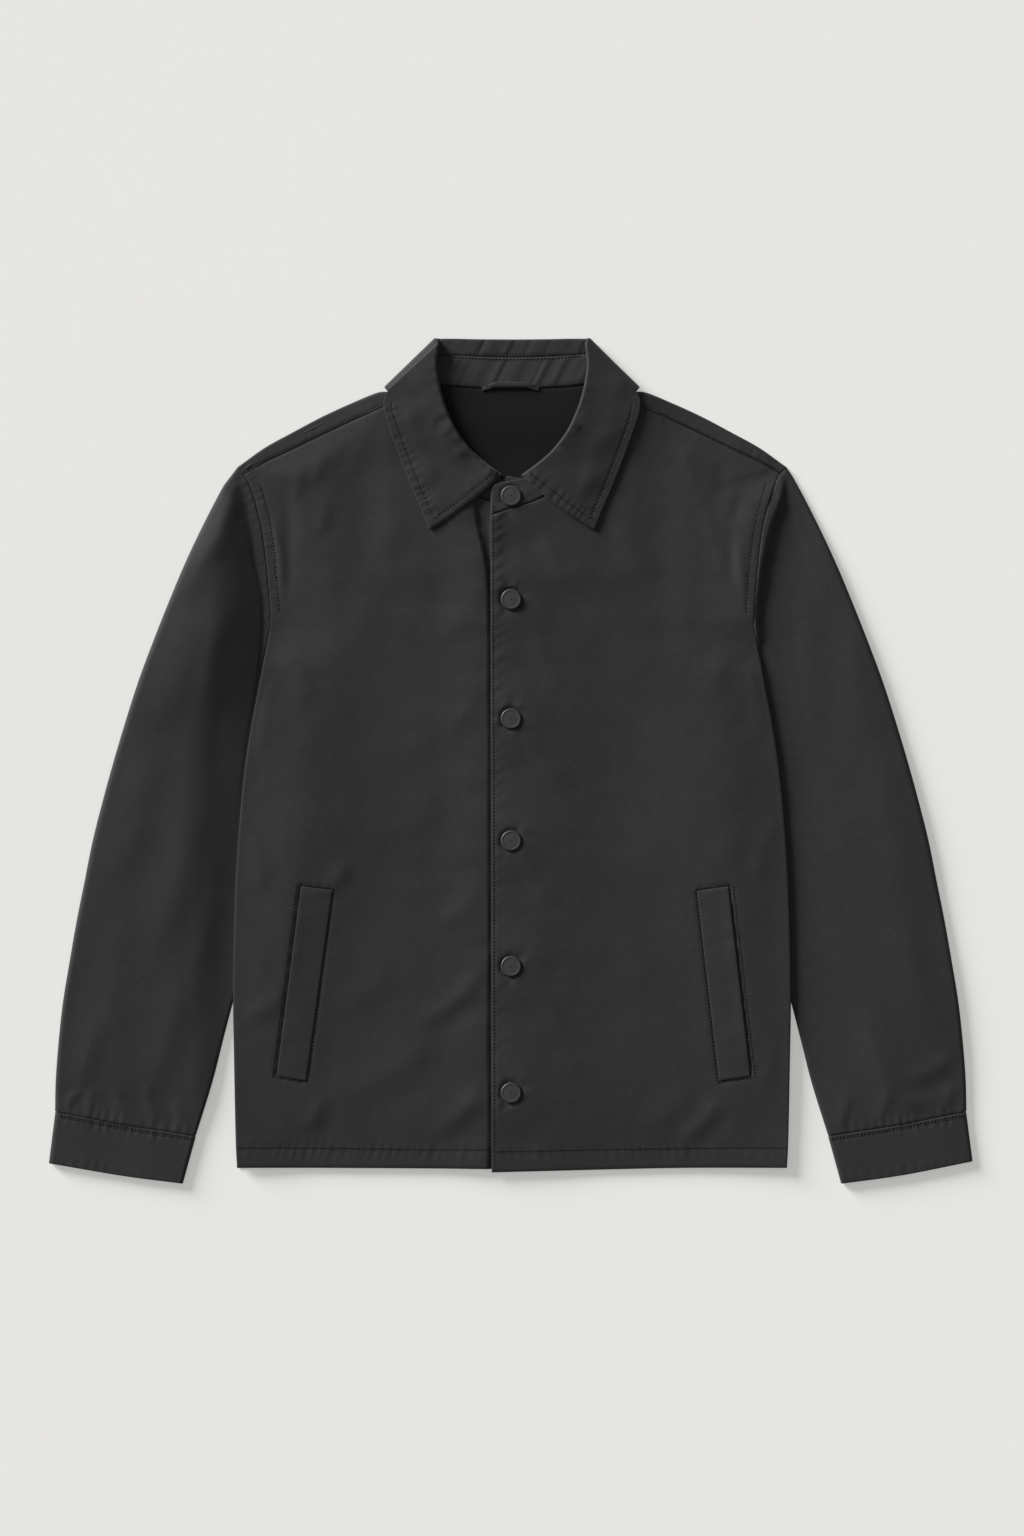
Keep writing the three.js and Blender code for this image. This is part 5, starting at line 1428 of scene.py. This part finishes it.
class JACKET_OT_snaps(bpy.types.Operator):
    """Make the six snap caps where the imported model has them"""
    bl_idname = "jacket.snaps"
    bl_label = "Snaps"

    def execute(self, context):
        for number in range(1, len(SNAP_YS) + 1):
            node = f"snap_{number}"
            low, high = (np.array(corner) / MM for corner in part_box(node))
            put(f"snap_cap_{number}", *snap_surface(low, high), material("snap"), node, "snap_cap")
        return {"FINISHED"}


class JACKET_OT_sewing(bpy.types.Operator):
    """Sew the edges and seams with runs of thread"""
    bl_idname = "jacket.sewing"
    bl_label = "Sewing"

    def execute(self, context):
        for side, wearer in WEARER.items():
            place = np.array([side, 1])
            runs = [HEM_STITCH[side], ARMHOLE_STITCH[40:-70], *welt_frame(side)]
            if side > 0:
                runs.append(PLACKET_STITCH[3:])
            sewn("thread_" + FRONTS[side], [line * place for line in runs], SURFACES[FRONTS[side]], 700)
            shoulder = even(SHOULDER_LINE[70:-12] + SHOULDER_STITCH, 120) * place
            sewn("thread_shoulder_" + wearer, [shoulder], above(SURFACES[f"strip_{side}"], STRIP_TOP), 720)
            rows = [part_of(offset_line(CUFF_LINE, distance), 0.02, 0.98) * place for distance in CUFF_ROWS]
            sewn("thread_cuff_" + wearer, rows, SURFACES["cuff_" + wearer], 730, width=0.6)
        stand, fall = SURFACES["stand"], SURFACES["fall"]
        runs = [line * (side, 1) for side in SIDES for line in (POINT_STITCH, WING_STITCH[:-24])]
        sewn("thread_points", runs, above(fall, WING_TOP), 740, width=0.65)
        behind = above(np.concatenate([stand, fall]), *BEHIND_NECK)
        behind = behind[(np.abs(behind[:, 0]) < 75) & (behind[:, 1] > 334)] + (0, 0, 0.25)
        sewn("thread_stand", STAND_ROWS, behind, 750, width=0.9)
        sewn("thread_loop", [polyline((-24.5, LOOP_Y), (22, LOOP_Y))], SURFACES["loop"], 760, width=0.6)
        return {"FINISHED"}


def studio_floor():
    """The square of paper that the jacket lies on."""
    half = sizes().floor_size / 2
    corners = [(x * half, y * half, FLOOR_Z) for x, y in ((-1, -1), (1, -1), (1, 1), (-1, 1))]
    mesh = bpy.data.meshes.new("studio_floor")
    mesh.from_pydata(corners, [], [(0, 1, 2, 3)])
    mesh.materials.append(material("floor"))
    return bpy.data.objects.new("studio_floor", mesh)


def studio_lights():
    """One object for each row of LIGHTS."""
    for name, compass, elevation, spread, strength in LIGHTS:
        lamp = bpy.data.lights.new(name, "SUN")
        lamp.angle, lamp.energy = math.radians(spread), strength
        light = bpy.data.objects.new(name, lamp)
        light.rotation_euler = (0, math.radians(90 - elevation), math.radians(compass))
        yield light


def overhead_camera():
    """The camera straight above the jacket."""
    lens = bpy.data.cameras.new("overhead_camera")
    lens.lens = LENS_MM
    lens.sensor_fit = "VERTICAL"
    lens.sensor_height = SENSOR_MM
    camera = bpy.data.objects.new("overhead_camera", lens)
    camera.location = (0, CAMERA_Y, sizes().camera_height)
    return camera


class JACKET_OT_stage(bpy.types.Operator):
    """Set up the pale floor, soft light from the upper left and the camera straight above"""
    bl_idname = "jacket.stage"
    bl_label = "Stage"

    def execute(self, context):
        scene = bpy.context.scene
        floor, camera = studio_floor(), overhead_camera()
        for thing in (floor, *studio_lights(), camera):
            scene.collection.objects.link(thing)
        world = bpy.data.worlds.new("soft_surround")
        world.use_nodes = True
        feed(world.node_tree, world.node_tree.nodes["Background"], i0=SURROUND, i1=SURROUND_STRENGTH)
        scene.world = world
        scene.camera = camera
        scene.view_settings.view_transform = "Standard"
        return {"FINISHED"}


class JACKET_PT_panel(bpy.types.Panel):
    """Shows the jacket's sizes, colours and the buttons that make its pieces in the sidebar"""
    bl_idname = "JACKET_PT_panel"
    bl_label = "Laid-out jacket"
    bl_space_type = "VIEW_3D"
    bl_region_type = "UI"
    bl_category = "Jacket"

    def draw(self, context):
        layout = self.layout
        for group in (context.scene.jacket_sizes, context.scene.jacket_colours):
            for name in group.__annotations__:
                layout.prop(group, name)
        for operator in OPERATORS:
            layout.operator(operator.bl_idname)


OPERATORS = (JACKET_OT_stage, JACKET_OT_back, JACKET_OT_fronts, JACKET_OT_sleeves, JACKET_OT_collar,
             JACKET_OT_welts, JACKET_OT_snaps, JACKET_OT_sewing)
GROUPS = (JacketSizes, JacketColours)


def register():
    """Adds the classes and the two groups of properties to Blender."""
    for cls in GROUPS + OPERATORS + (JACKET_PT_panel,):
        bpy.utils.register_class(cls)
    bpy.types.Scene.jacket_sizes = bpy.props.PointerProperty(type=JacketSizes)
    bpy.types.Scene.jacket_colours = bpy.props.PointerProperty(type=JacketColours)


def unregister():
    """Takes them out again."""
    del bpy.types.Scene.jacket_colours
    del bpy.types.Scene.jacket_sizes
    for cls in reversed(GROUPS + OPERATORS + (JACKET_PT_panel,)):
        bpy.utils.unregister_class(cls)


def main():
    """Registers the classes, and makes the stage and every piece."""
    register()
    bpy.ops.jacket.stage()
    bpy.ops.jacket.back()
    bpy.ops.jacket.fronts()
    bpy.ops.jacket.sleeves()
    bpy.ops.jacket.collar()
    bpy.ops.jacket.welts()
    bpy.ops.jacket.snaps()
    bpy.ops.jacket.sewing()


if __name__ == "__main__":
    main()
